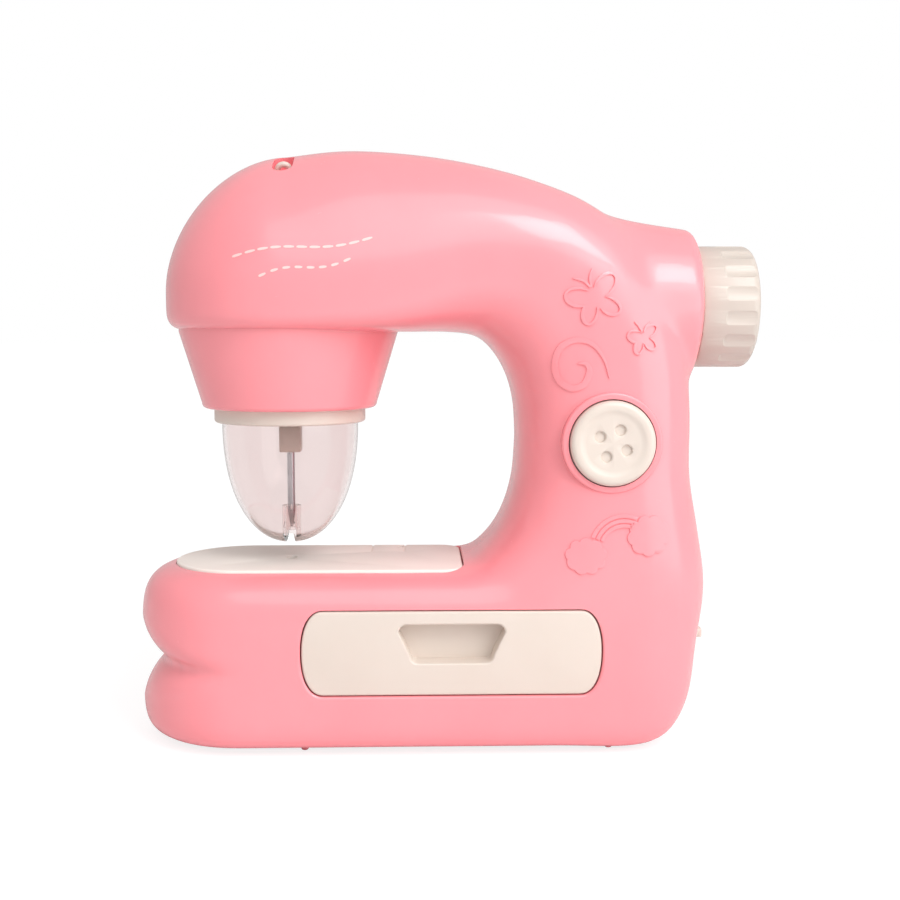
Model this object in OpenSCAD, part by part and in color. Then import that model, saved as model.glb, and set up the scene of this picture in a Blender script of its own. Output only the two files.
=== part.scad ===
// Toy sewing machine: a moulded two-half body with a drawer, a push button,
// a handwheel that turns the needle crank, and a clear needle guard.
// Millimetres, +Z up, origin under the middle of the box that holds the toy.

/* [Overall] */
// Length from the rounded end of the bed to the face of the handwheel
total_l = 231; // [210:1:260]
// Height from the table to the top of the head
body_h = 220; // [212:1:230]
// Height of the bed surface
base_h = 66.5; // [64.5:0.5:68.5]
// Height of the underside of the arm
arm_z = 153; // [150:0.5:155]
// Wall of the two body halves
wall = 2.4; // [1.8:0.1:3]
// Height of the moulded feet
foot_h = 1.2; // [0.6:0.1:2]

/* [Body] */
// Distance of the needle axis from the rounded end of the bed
needle_in = 57; // [55:0.5:59]
// Radius of the head at its rim
head_r = 45.5; // [44:0.5:49]
// Height of the straight part of the head above the rim
head_wall_h = 15; // [10:0.5:20]
// How far the highest point lies behind the needle axis
peak_in = 22; // [16:1:28]
// Half depth of the arm at its middle
arm_d = 40; // [38:0.5:43]
// Half depth of the column
column_d = 37; // [35.5:0.5:39]
// Half depth of the bed and base
base_d = 40; // [39:0.5:42]
// How far the face of the handwheel lies behind the base
wheel_out = 16.65; // [15.65:0.05:18.65]
// Width of the column at its waist
column_w = 66; // [64:0.5:69]
// How far the base swells out behind the waist of the column
base_swell = 5.6; // [3:0.2:8]
// Length of the throat curve below the arm, along the arm
throat_top_l = 21.75; // [18:0.25:26]
// Height of the throat curve below the arm
throat_top_h = 35; // [30:0.5:37]
// Length of the throat curve above the bed, along the bed
throat_low_l = 25.75; // [20:0.25:28]
// Height of the throat curve above the bed
throat_low_h = 43; // [38:0.5:46]
// Height of the crease between the two lobes of the bed end
crease_z = 31.2; // [26:0.1:34]
// Depth of the crease at the bed end
crease_depth = 9.6; // [5:0.2:11]
// Radius of the lobes beside the crease
lobe_r = 25; // [22:0.5:30]

/* [Handwheel] */
// Height of the handwheel axis
shaft_z = 162.5; // [161:0.5:164.5]
// Radius of the handwheel
wheel_r = 22.8; // [22:0.2:25]
// Length of the handwheel
wheel_l = 21.5; // [18:0.5:24]
// Rounding of the handwheel's outer edge
wheel_edge_r = 3.25; // [2:0.25:6]
// Number of grip flutes
flute_n = 16; // [12:1:20]
// Radius of a grip flute
flute_r = 3; // [2:0.25:4]
// Depth of a grip flute
flute_depth = 1.1; // [0.6:0.1:1.6]
// Plain band beside the flutes
wheel_band_l = 7; // [5:0.5:9]
// Radius of the end of the boss behind the handwheel
boss_r = 28.5; // [26.5:0.5:30]
// Radius of the root of the boss, before its flare
boss_root_r = 34.5; // [33:0.5:36]
// Flare of the boss where it runs into the body
boss_flare = 4; // [2:0.5:5]
// Length of the boss
boss_l = 41.5; // [39:0.5:44]
// Rounding of the boss edge
boss_edge_r = 5.5; // [2:0.5:7]

/* [Needle unit] */
// Radius of the cup under the head, at its top
cup_top_r = 41; // [39:0.5:43]
// Radius of the cup at its bottom
cup_low_r = 33; // [31:0.5:34]
// Height of the cup
cup_h = 28.5; // [26.5:0.5:30.5]
// Wall of the cup
cup_wall = 2.2; // [1.6:0.1:2.8]
// Radius of the trim ring
ring_r = 28.5; // [27.5:0.1:29.5]
// Height of the trim ring that shows
ring_h = 5.4; // [4:0.1:6]
// Radius of the clear guard at its top
guard_r = 25.7; // [24.5:0.1:26.5]
// Height of the clear guard that shows
guard_h = 46.25; // [44.5:0.25:47.5]
// Wall of the clear guard
guard_wall = 1.4; // [1:0.1:1.8]
// Width of the slot in the guard's tip
guard_slot_w = 3.9; // [3.5:0.1:4.5]
// Height of the slot in the guard's tip
guard_slot_h = 5; // [3:0.25:7]
// Outer radius of the needle tube in the guard
guide_tube_r = 3.6; // [3.2:0.1:4.2]
// Height of the needle tube in the guard
guide_tube_h = 14; // [11:0.5:16]
// Radius of the needle bar
bar_r = 3; // [2.6:0.1:3.4]
// Width of the needle clamp
clamp_w = 8.1; // [7.5:0.1:9]
// Height of the needle clamp
clamp_h = 10; // [8:0.5:11]
// Radius of the needle
needle_r = 1.45; // [1.2:0.05:1.6]
// Distance of the needle clamp below the trim ring's rim
clamp_drop = 1.6; // [1:0.1:3]
// Needle travel up from where it is drawn
stroke_up = 6; // [4:0.5:6]
// Needle travel down from where it is drawn
stroke_down = 4; // [3:0.5:4]

/* [Bed plate] */
// Half depth of the bed plate
plate_d = 26.6; // [25:0.2:28]
// Distance of the bed plate from the rounded end of the bed
plate_in = 13.2; // [12.6:0.2:13.8]
// Length of the bed plate
plate_l = 109; // [104:0.5:112]
// Thickness of the bed plate
plate_t = 3; // [2:0.1:3.5]
// Corner radius of the bed plate beside the column
plate_corner_r = 8; // [5:0.5:12]
// Width of the needle slot in the bed plate
plate_slot_w = 4; // [3:0.1:5]

/* [Drawer] */
// Width of the drawer front
drawer_w = 107.5; // [100:0.5:109]
// Height of the drawer front
drawer_h = 30.5; // [29:0.5:32]
// Height of the middle of the drawer front
drawer_z = 38.75; // [38:0.25:39.5]
// Distance of the drawer's middle behind the needle axis
drawer_in = 60.5; // [59.5:0.5:61.5]
// Length of the rounded ends of the drawer front
drawer_end_l = 6.5; // [4:0.25:9]
// Depth of the drawer tray behind its front
tray_l = 54; // [48:0.5:56]
// Wall of the drawer
tray_wall = 1.8; // [1.4:0.1:2.2]
// How far the drawer pulls out
drawer_travel = 45; // [35:1:48]
// Width of the finger recess at its top
recess_top_w = 38; // [34:0.5:42]
// Width of the finger recess at its bottom
recess_low_w = 30; // [26:0.5:34]
// Height of the finger recess
recess_h = 14; // [11:0.5:15]
// Depth of the finger recess
recess_l = 10; // [8:0.5:12]

/* [Button] */
// Radius of the push button
button_r = 15.2; // [14.5:0.1:16.5]
// Height of the button's axis
button_z = 113.8; // [112.4:0.2:115]
// Distance of the button's axis from the middle of the column, towards the throat
button_in = 1.4; // [0.4:0.1:2.4]
// How far the button stands out of its collar
button_out = 2.6; // [2.5:0.1:4]
// How far the button is pressed in
button_travel = 2.2; // [1.5:0.1:2.4]
// Spacing of the four blind holes in the button
button_hole_pitch = 7.5; // [6.5:0.25:9]
// Radius of a blind hole in the button
button_hole_r = 1.9; // [1.5:0.1:2.3]
// Width of the raised collar round the button
collar_w = 2.3; // [1.5:0.1:3]
// Height of the raised collar
collar_h = 1.2; // [0.8:0.1:1.8]

/* [Mechanism] */
// Radius of the main shaft
shaft_r = 2; // [1.6:0.1:2.5]
// Tooth module of the gear pair
gear_module = 0.8; // [0.7:0.05:0.9]
// Teeth on the drive gear
gear_teeth = 36; // [34:2:38]
// Teeth on the motor pinion
pinion_teeth = 12; // [12:1:14]
// Width of the drive gear
gear_w = 6; // [4:0.5:7]
// Radius of the motor can
motor_r = 10; // [9:0.25:10.5]
// Length of the motor can
motor_l = 25; // [22:0.5:27]
// Radius of the crank disc
crank_disc_r = 9; // [8:0.5:10]
// Throw of the crank pin
crank_throw = 5; // [4:0.25:6]
// Outer radius of the shaft bushes
bush_r = 4.2; // [3.6:0.1:5]
// Length of a shaft bush
bush_l = 6; // [5:0.5:8]

/* [Electrics] */
// Radius of a cell
cell_r = 7.25; // [7.1:0.05:7.3]
// Length of a cell
cell_l = 50.5; // [49.5:0.25:51]
// Number of cells side by side
cell_n = 3; // [2:1:3]
// Width of the circuit board
board_w = 44; // [40:0.5:46]
// Height of the circuit board
board_h = 33; // [30:0.5:33]
// Thickness of the circuit board
board_t = 1.6; // [1.2:0.1:2]
// Radius of the loudspeaker
speaker_r = 18; // [15:0.5:19]
// Depth of the loudspeaker
speaker_l = 8; // [6:0.5:9]
// Travel of the power switch
switch_travel = 4; // [3:0.25:4.5]

/* [Clearances] */
// Gap between fixed pieces
fit_gap = 0.3; // [0.2:0.05:0.4]
// Gap round a turning shaft
run_gap = 0.05; // [0.03:0.01:0.08]
// Visible gap round the drawer front and the button
show_gap = 0.45; // [0.35:0.05:0.6]
// Gap between parts that move past each other
slide_gap = 0.4; // [0.3:0.05:0.5]

/* [Hidden] */
$fn = 50;
// Overrun of every cut
cut = 1;
// Smoothness of the body: steps between two stations, and points on half a section
station_steps = 2;
section_points = 14;
turn_steps = 7;
cavity_points = 8;
cavity_steps = 1;
cavity_turns = 5;

pink = "#fdaeb6";
ivory = "#f2e6db";
clear = [0.93, 0.88, 0.88, 0.35];
steel = "#a9a6ab";
grey = "#cdb9ad";
brass = "#c9a659";
green = "#3d7a52";

// Places along the length
bed_end_x = -total_l / 2;
wheel_end_x = total_l / 2;
needle_x = bed_end_x + needle_in;
peak_x = needle_x + peak_in;
back_x = wheel_end_x - wheel_out;
waist_x = back_x - base_swell;
throat_x = waist_x - column_w;
column_x = throat_x + column_w / 2;
wheel_x = wheel_end_x - wheel_l;
boss_end_x = wheel_x - show_gap;
boss_x = boss_end_x - boss_l;
base_turn_x = bed_end_x + base_d;
drawer_x = needle_x + drawer_in;
button_x = column_x - button_in;

// Heights of the needle unit, from the rim of the head down
cup_low_z = arm_z - cup_h;
ring_low_z = cup_low_z - ring_h;
guard_low_z = ring_low_z - guard_h;

// Body sections: outline table, then rings of points

// Outer outline from the peak round to the bed end, as shares of the span
// from the peak to the back and of the height. The last six run along the base.
outer_shares = [
    [0.000, 1.0000], [0.190, 0.9935], [0.362, 0.9760], [0.528, 0.9475],
    [0.686, 0.9040], [0.834, 0.8240], [0.925, 0.6980], [0.948, 0.5680],
    [0.950, 0.4550], [0.974, 0.3640], [0.995, 0.2640], [0.972, 0.1640],
    [0.938, 0.0600], [0.836, 0.0000], [0.580, 0.0000], [0.290, 0.0000],
    [0.000, 0.0000]
];
// Inner outline beside each outer point: along the arm, round the upper curve,
// round the lower curve and along the bed
arm_shares = [0.33, 0.70, 0.92];
upper_turn_shares = [0.18, 0.40, 0.62, 0.82, 1.00];
lower_turn_shares = [1.00, 0.80, 0.58, 0.36, 0.14];
bed_shares = [0.18, 0.42, 0.64, 0.84];
// Half depth beside each outer point, as shares between neighbouring depths:
// head to arm, arm to column, column to base
depth_shares = [
    0.12, 0.55, 1.00, 1.45, 1.80, 2.00, 2.00, 2.00, 2.06,
    2.25, 2.55, 2.85, 3.00, 3.00, 3.00, 3.00, 3.00
];
// Roundness of each section on its outer and inner side, and where it is widest
outer_roundness = [
    1.9, 2.0, 2.2, 2.4, 2.6, 2.8, 3.0, 3.0, 3.0,
    3.0, 3.2, 3.6, 4.6, 6.4, 8.0, 8.0, 8.0
];
inner_roundness = [
    7.5, 5.0, 3.6, 3.0, 2.8, 2.7, 2.7, 2.7, 2.7,
    2.8, 3.0, 3.4, 4.2, 5.0, 5.0, 5.0, 5.0
];
waist_shares = [
    0.24, 0.30, 0.37, 0.43, 0.48, 0.50, 0.50, 0.50, 0.50,
    0.50, 0.50, 0.50, 0.50, 0.50, 0.50, 0.50, 0.50
];
head_roundness = [1.8, 9.0];
base_roundness = [8.0, 5.0];

span = back_x - peak_x;
rise = body_h - foot_h;
arm_l = throat_x - throat_top_l - needle_x;
bed_l = throat_x - throat_low_l - base_turn_x;

function inner_arm(share) = [needle_x + arm_l * share, arm_z];
function inner_upper(share) = [
    throat_x - throat_top_l * (1 - sin(90 * share)),
    arm_z - throat_top_h * (1 - cos(90 * share))
];
function inner_lower(share) = [
    throat_x - throat_low_l * (1 - sin(90 * share)),
    base_h + throat_low_h * (1 - cos(90 * share))
];
function inner_bed(share) = [throat_x - throat_low_l - bed_l * share, base_h];
inner_line = concat(
    [for (s = arm_shares) inner_arm(s)],
    [for (s = upper_turn_shares) inner_upper(s)],
    [for (s = lower_turn_shares) inner_lower(s)],
    [for (s = bed_shares) inner_bed(s)]
);
depth_steps = [head_r, arm_d, column_d, base_d];
function depth_at(share) = lookup(share, [for (i = [0:3]) [i, depth_steps[i]]]);

// A station is outer x, z, inner x, z, half depth, place of the widest point,
// roundness outside and inside
function station(i) = [
    peak_x + span * outer_shares[i][0], foot_h + rise * outer_shares[i][1],
    inner_line[i][0], inner_line[i][1],
    depth_at(depth_shares[i]), waist_shares[i], outer_roundness[i], inner_roundness[i]
];
head_drop = 2.4;
head_dome_h = body_h - head_drop;
head_station = [
    needle_x, head_dome_h, needle_x, arm_z, head_r,
    head_wall_h / (head_dome_h - arm_z), head_roundness[0], head_roundness[1]
];
base_station = [
    base_turn_x, foot_h, base_turn_x, base_h, base_d, 0.5,
    base_roundness[0], base_roundness[1]
];
stations = concat(
    [head_station],
    [for (i = [0:len(outer_shares) - 1]) station(i)],
    [base_station]
);
last = len(stations) - 1;

// Smooth curve through four neighbouring stations
function between(a, b, c, d, t) =
    b + (c - a) * t / 2 + (2 * a - 5 * b + 4 * c - d) * t * t / 2
    + (3 * b - a - 3 * c + d) * t * t * t / 2;
function smooth(i, t) = between(
    stations[max(i - 1, 0)], stations[i], stations[min(i + 1, last)],
    stations[min(i + 2, last)], t
);
function ring_list(steps, turns) = concat(
    [for (k = [turns:-1:1]) concat(head_station, [90 * k / turns])],
    [for (i = [0:last - 1]) for (k = [0:steps - 1]) concat(smooth(i, k / steps), [0])],
    [for (k = [0:turns]) concat(base_station, [90 * k / turns])]
);
rings = ring_list(station_steps, turn_steps);
cavity_rings = ring_list(cavity_steps, cavity_turns);

function power(v, n) = sign(v) * pow(abs(v), 2 / n);
// One point of a ring: t runs from 0 outside to 180 inside, side is -1 in front
function ring_point(ring, inset, t, side) =
    let (
        outer = [ring[0], ring[1]],
        inner = [ring[2], ring[3]],
        way = (inner - outer) / norm(inner - outer),
        out = outer + way * inset,
        inn = inner - way * inset,
        mid = inn + (out - inn) * ring[5],
        round = cos(t) >= 0 ? ring[6] : ring[7],
        along = power(cos(t), round),
        across = (ring[4] - inset) * power(abs(sin(t)) < 1e-9 ? 0 : sin(t), round),
        line = mid + (along >= 0 ? out - mid : mid - inn) * along
    )
    [line[0] - across * sin(ring[8]), side * across * cos(ring[8]), line[1]];
function ring_points(ring, inset, n) = concat(
    [for (j = [0:n - 1]) ring_point(ring, inset, 180 * j / (n - 1), -1)],
    [for (j = [n - 2:-1:1]) ring_point(ring, inset, 180 * j / (n - 1), 1)]
);
function same(a, b) = norm(a - b) < 1e-6;

// The whole outside of the body, or its cavity when inset by the wall
module body_form(list, inset, n) {
    around = 2 * n - 2;
    points = [for (r = list) each ring_points(r, inset, n)];
    corners = [for (k = [0:len(list) - 2]) for (j = [0:around - 1])
        let (
            a = k * around + j,
            b = k * around + (j + 1) % around,
            c = a + around,
            d = b + around
        )
        each [[a, c, b], [b, c, d]]];
    faces = [for (f = corners)
        if (!same(points[f[0]], points[f[1]]) && !same(points[f[1]], points[f[2]])
            && !same(points[f[0]], points[f[2]])) f];
    polyhedron(points, faces, convexity = 6);
}

// Turned boss behind the handwheel, its edge rounded
boss_arc_steps = 6;
flare_steps = 6;
post_sides = 10;
hole_sides = 8;
bore_sides = 36;
module boss_form(inset, steps) {
    end_r = boss_r - inset;
    edge = boss_edge_r - min(inset, boss_edge_r / 2);
    length = boss_l - inset;
    translate([boss_x, 0, shaft_z])
        rotate([0, 90, 0])
            rotate_extrude()
                polygon(concat(
                    [[0, 0]],
                    [for (k = [0:flare_steps - 1]) let (t = 1 - k / flare_steps) [
                        end_r + (boss_root_r - boss_r) * t + boss_flare * pow(t, 4),
                        (length - edge) * (1 - t)
                    ]],
                    [for (k = [0:steps]) let (a = 90 * k / steps)
                        [end_r - edge * (1 - cos(a)), length - edge * (1 - sin(a))]],
                    [[0, length]]
                ));
}

// Groove that parts the bed end into two lobes and fades along the front
crease_r = base_d;
crease_x = bed_end_x + crease_depth + crease_r;
lobe_steps = 5;
lobe_angle = acos((lobe_r - crease_depth) / lobe_r);
module crease_groove() {
    half = lobe_r * sin(lobe_angle);
    arc = [for (k = [0:lobe_steps]) let (a = lobe_angle * k / lobe_steps)
        [crease_r + crease_depth - lobe_r * (1 - cos(a)), half - lobe_r * sin(a)]];
    reach = crease_r + crease_depth + cut;
    translate([crease_x, 0, crease_z])
        intersection() {
            rotate_extrude()
                polygon(concat(
                    [for (p = arc) [p[0], p[1]]],
                    [for (k = [lobe_steps - 1:-1:0]) [arc[k][0], -arc[k][1]]],
                    [[reach, -half], [reach, half]]
                ));
            box([-2 * reach, -2 * reach, -2 * half], [-run_gap, 2 * reach, 2 * half]);
        }
}

// Stadium with full, softened ends: the drawer front's outline
end_steps = 10;
end_roundness = 2.6;
module drawer_outline(grow) {
    half_w = drawer_w / 2 + grow;
    half_h = drawer_h / 2 + grow;
    straight = half_w - drawer_end_l - grow;
    end = [for (k = [0:end_steps]) let (a = 180 * k / end_steps - 90)
        [straight + (drawer_end_l + grow) * power(cos(a), end_roundness),
            half_h * power(sin(a), end_roundness)]];
    polygon(concat(end, [for (p = end) [-p[0], -p[1]]]));
}

// Drawer places
front_y = -base_d;
drawer_front_t = 3;
drawer_front_y = front_y + fit_gap;
drawer_seat_y = drawer_front_y + drawer_front_t + slide_gap;
tray_w = drawer_w - 2 * drawer_end_l;
tray_h = drawer_h - 2 * tray_wall;
tray_back_y = drawer_front_y + drawer_front_t + tray_l;
channel_w = tray_w + 2 * slide_gap;
channel_h = tray_h + 2 * slide_gap;
channel_wall = 1.6;

// Fixed places inside
pinion_z = shaft_z - gear_module * (gear_teeth + pinion_teeth) / 2;
gear_in = 14;
gear_x = column_x - gear_in;
motor_gap = 4;
motor_x = gear_x + gear_w + motor_gap;
rib_t = 2.4;
motor_rib_inset = 4;
motor_rib_x = [motor_x + motor_rib_inset, motor_x + motor_l - motor_rib_inset - rib_t];
bush_flange_t = 1.2;
bush_flange_w = 1.4;
bush_flange_r = bush_r + bush_flange_w;
left_rib_in = 20;
left_rib_x = needle_x + left_rib_in;
rib_reach = 14;

// Case screws: two in the head and arm, two in the column, two in the base
head_screw_out = 28.8;
head_screw_drop = 3.2;
arm_screw_in = 22.6;
arm_screw_rise = 0.5;
boss_screw_out = 7.9;
boss_screw_rise = 13.5;
column_screw_out = 10.2;
column_screw_rise = 6.2;
base_screw_in = 16;
base_screw_rise = 19.8;
end_screw_out = 10;
end_screw_drop = 28;
arm_mid_z = (arm_z + body_h) / 2;
screw_places = [
    [needle_x - head_screw_out, arm_mid_z - head_screw_drop],
    [throat_x - arm_screw_in, arm_mid_z + arm_screw_rise],
    [column_x + boss_screw_out, shaft_z + boss_screw_rise],
    [column_x + column_screw_out, base_h + column_screw_rise],
    [back_x - base_screw_in, foot_h + base_screw_rise],
    [base_turn_x - end_screw_out, base_h - end_screw_drop]
];
post_r = 3.6;
post_tip_r = 3.1;
screw_r = 1.25;
screw_head_r = 2.7;
screw_head_t = 1.8;
screw_l = 15;
screw_seat_y = 7;
screw_hole_r = screw_head_r + fit_gap;
screw_grip = 6;

// Circuit board on four posts behind the button
board_in = 21;
board_y = board_in - column_d;
board_post_inset = 4;
board_post_r = 2.6;
board_places = [for (sx = [-1, 1]) for (sz = [-1, 1])
    [button_x + sx * (board_w / 2 - board_post_inset),
        button_z + sz * (board_h / 2 - board_post_inset)]];

// Button: collar, sleeve and stem
collar_r = button_r + show_gap + collar_w;
button_hole_body_r = button_r + show_gap;
collar_y = -column_d - collar_h;
button_face_y = collar_y - button_out;
sleeve_l = 7;
button_flange_t = 1.6;
button_flange_w = 1.3;
button_body_l = 11;

// Loudspeaker on the back wall
speaker_seat_t = 1.6;
speaker_y = column_d - wall - speaker_l - speaker_seat_t;
speaker_seat_w = 2;
grille_w = 2.4;
grille_pitch = 4.6;
grille_rows = 5;

// Power switch on the right end
switch_z = 34.5;
switch_y = 8;
switch_h = 3.6;
switch_w = 7;
switch_out = 3.4;
switch_body_w = 16;
switch_body_h = 8;
switch_body_l = 6;
switch_plate_t = 1.6;

// Battery compartment under the drawer
cell_gap = 0.8;
cell_pitch = 2 * cell_r + cell_gap;
door_t = 2.2;
door_margin = 4;
door_l = cell_l + 2 * door_margin;
door_w = cell_n * cell_pitch + door_margin;
door_x = drawer_x;
cell_z = foot_h + door_t + cell_r + fit_gap;
contact_t = 0.8;
contact_w = 9;
contact_h = 11;
door_tab_l = 8;
door_tab_w = 12;
door_screw_x = door_x + door_l / 2 + door_tab_l / 2;
door_screw_l = 9;
door_screw_sink = 1.2;
bay_wall = 1.6;
bay_gap = 0.6;
bay_top_z = drawer_z - channel_h / 2 - channel_wall / 2;

// Thread guide recess in the top of the head
guide_slot_w = 7.4;
guide_slot_l = 16;
guide_slot_depth = 5;
guide_tilt = 24;
guide_y = -14;
guide_drop = 3.6;
guide_bar_r = 1.1;

// Bed plate pocket
plate_x = bed_end_x + plate_in;
plate_lift = 0.4;
plate_z = base_h - plate_t;

module rod_x(x0, x1, r) {
    translate([x0, 0, 0]) rotate([0, 90, 0]) cylinder(r = r, h = x1 - x0);
}
module rod_y(y0, y1, r) {
    translate([0, y0, 0]) rotate([-90, 0, 0]) cylinder(r = r, h = y1 - y0);
}
module box(low, high) {
    translate(low) cube(high - low);
}

// Rounded end of the bed plate and two soft corners, grown for the pocket
module plate_outline(grow) {
    r = plate_d + grow;
    corner = plate_corner_r + grow;
    end_x = plate_x + plate_l + grow;
    hull() {
        translate([plate_x + plate_d, 0]) circle(r = r);
        for (side = [-1, 1])
            translate([end_x - corner, side * (r - corner)]) circle(r = corner);
    }
}

// Tapered post from a wall of the body to the parting plane
module post(place, y0, y1, r0, r1) {
    translate([place[0], 0, place[1]])
        hull() {
            translate([0, y0, 0]) rod_y(-cut, 0, r0, $fn = post_sides);
            translate([0, y1, 0]) rod_y(-cut, 0, r1, $fn = post_sides);
        }
}

// Everything solid inside the body's outline that belongs to the two halves
module inner_ribs() {
    // Seats of the main shaft and the motor
    box([left_rib_x, -head_r, shaft_z - bush_r - rib_t / 2],
        [left_rib_x + rib_t, head_r, shaft_z + rib_reach]);
    for (x = motor_rib_x)
        box([x, -head_r, pinion_z - motor_r - rib_t], [x + rib_t, head_r, shaft_z + rib_reach]);
    // Drawer channel
    difference() {
        box([drawer_x - channel_w / 2 - channel_wall, -head_r,
                drawer_z - channel_h / 2 - channel_wall],
            [drawer_x + channel_w / 2 + channel_wall, tray_back_y + slide_gap + channel_wall,
                drawer_z + channel_h / 2 + channel_wall]);
        box([drawer_x - channel_w / 2, -head_r - cut, drawer_z - channel_h / 2],
            [drawer_x + channel_w / 2, tray_back_y + slide_gap, drawer_z + channel_h / 2]);
    }
    // Frame that joins the channel to the front wall
    translate([drawer_x, drawer_seat_y + wall, drawer_z])
        rotate([90, 0, 0]) linear_extrude(height = 3 * wall) drawer_outline(show_gap + wall);
    // Battery bay walls and the boss of the door screw
    for (side = [-1, 1]) {
        translate([door_x + side * (cell_l / 2 + contact_t + bay_gap + bay_wall / 2), 0, 0])
            box([-bay_wall / 2, -door_w / 2, foot_h],
                [bay_wall / 2, door_w / 2, bay_top_z]);
        translate([door_x, side * (door_w / 2 + bay_wall / 2), 0])
            box([-door_l / 2, -bay_wall / 2, foot_h], [door_l / 2, bay_wall / 2, bay_top_z]);
    }
    box([door_screw_x - door_tab_l / 2, -door_tab_w / 2, foot_h],
        [door_screw_x + door_tab_l, door_tab_w / 2, bay_top_z]);
    // Lip under the bed plate
    translate([0, 0, plate_z - wall])
        linear_extrude(height = wall + plate_t / 2)
            difference() {
                plate_outline(wall);
                plate_outline(-wall);
            }
}

// Holes and pockets that the two halves share
module body_cuts() {
    // Bores for the shaft bushes and room for the motor
    translate([0, 0, shaft_z]) {
        rod_x(left_rib_x - cut, left_rib_x + rib_t + cut, bush_r + fit_gap / 2);
        rod_x(motor_rib_x[0] - cut, motor_rib_x[1] + rib_t + cut, bush_r);
        rod_x(boss_end_x - wall - rib_t - cut, boss_end_x + cut, bush_r + fit_gap / 2);
    }
    translate([0, 0, pinion_z])
        rod_x(motor_rib_x[0] - cut, motor_rib_x[1] + rib_t + cut, motor_r + fit_gap);
    // Seat of the needle cup
    translate([needle_x, 0, arm_z - head_wall_h])
        cylinder(r = cup_top_r + fit_gap, h = head_wall_h + wall + cut);
    translate([needle_x, 0, arm_z + wall])
        cylinder(r = cup_top_r + cup_flange_w + fit_gap, h = cup_flange_t + 4 * fit_gap);
    // Pocket and opening for the bed plate
    translate([0, 0, plate_z]) linear_extrude(height = base_h) plate_outline(fit_gap);
    // Battery opening
    box([door_x - door_l / 2 - fit_gap, -door_w / 2 - fit_gap, -cut],
        [door_x + door_l / 2 + fit_gap, door_w / 2 + fit_gap, foot_h + door_t + fit_gap]);
    box([door_x, -door_tab_w / 2 - fit_gap, -cut],
        [door_x + door_l / 2 + door_tab_l + fit_gap, door_tab_w / 2 + fit_gap,
            foot_h + door_t + fit_gap / 2]);
    translate([door_screw_x, 0, 0])
        cylinder(r = screw_r + fit_gap / 2, h = foot_h + door_screw_l + cut, $fn = hole_sides);
    // Room for the cells
    box([door_x - cell_l / 2 - contact_t - bay_gap, -door_w / 2, foot_h],
        [door_x + cell_l / 2 + contact_t + bay_gap, door_w / 2, bay_top_z - channel_wall / 2]);
    // Thread guide recess
    thread_recess(0);
    crease_groove();
}

// On the slope of the dome, over the needle
module guide_place() {
    translate([needle_x, guide_y, head_dome_h - guide_drop]) rotate([guide_tilt, 0, 0]) children();
}
module thread_recess(inset) {
    half = guide_slot_l / 2 - guide_slot_w / 2;
    guide_place()
        translate([0, 0, -guide_slot_depth - inset])
            hull() for (side = [-1, 1])
                translate([0, side * half, 0])
                    cylinder(r = guide_slot_w / 2 + inset, h = 2 * head_wall_h, $fn = 24);
}

// Outside of the body with the boss, and its cavity less the ribs
module body_solid() {
    body_form(rings, 0, section_points);
    boss_form(0, boss_arc_steps);
}
module body_cavity() {
    difference() {
        union() {
            body_form(cavity_rings, wall, cavity_points);
            boss_form(wall, boss_arc_steps / 3, $fn = 24);
        }
        inner_ribs();
        thread_recess(wall);
        crease_shield();
    }
}
// Wall behind the crease, so that the groove never opens the cavity
module crease_shield() {
    shield_r = crease_r - wall;
    translate([crease_x, 0, crease_z - lobe_r * sin(lobe_angle)])
        difference() {
            cylinder(r = crease_r + crease_depth + wall, h = 2 * lobe_r * sin(lobe_angle));
            translate([0, 0, -cut])
                cylinder(r = shield_r, h = 2 * lobe_r + cut);
            translate([cut - shield_r / 2, -base_d * 2, -cut])
                cube([crease_r * 4, base_d * 4, lobe_r * 4]);
        }
}
module half_space(side) {
    reach = total_l;
    translate([-reach, side > 0 ? 0 : -reach, -reach]) cube([2 * reach, reach, 3 * reach]);
}
foot_in = 12;
foot_low_r = 1.3;
foot_top_r = 1.8;
module feet(side) {
    for (x = [drawer_x - drawer_w / 2, column_x])
        translate([x, side * (base_d - foot_in), 0])
            cylinder(r1 = foot_low_r, r2 = foot_top_r, h = foot_h + wall, $fn = post_sides);
}

module front_shell() {
    color(pink) difference() {
        union() {
            intersection() {
                union() {
                    difference() {
                        body_solid();
                        body_cavity();
                    }
                    intersection() {
                        body_solid();
                        union() {
                            for (s = screw_places)
                                post(s, -column_d, 0, post_r, post_tip_r);
                            for (p = board_places)
                                post(p, -column_d, board_y, board_post_r, board_post_r);
                            translate([button_x, 0, button_z])
                                rod_y(-column_d - wall, -column_d + sleeve_l,
                                    button_hole_body_r + wall, $fn = bore_sides);
                        }
                    }
                    translate([button_x, 0, button_z])
                        rod_y(collar_y, -column_d + wall, collar_r, $fn = bore_sides);
                }
                half_space(-1);
            }
            feet(-1);
        }
        body_cuts();
        // Drawer opening
        translate([drawer_x, drawer_seat_y, drawer_z])
            rotate([90, 0, 0]) linear_extrude(height = head_r) drawer_outline(show_gap);
        box([drawer_x - channel_w / 2, -head_r, drawer_z - channel_h / 2],
            [drawer_x + channel_w / 2, cut, drawer_z + channel_h / 2]);
        // Button bore, wider behind for the button's flange
        translate([button_x, 0, button_z]) {
            rod_y(-head_r, -column_d + wall, button_hole_body_r, $fn = bore_sides);
            rod_y(-column_d + wall, board_y,
                button_r + button_flange_w + slide_gap, $fn = bore_sides);
        }
        // Screw pilots
        for (s = screw_places)
            translate([s[0], 0, s[1]])
                rod_y(-screw_l, cut, screw_r + fit_gap / 2, $fn = hole_sides);
    }
}

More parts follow.
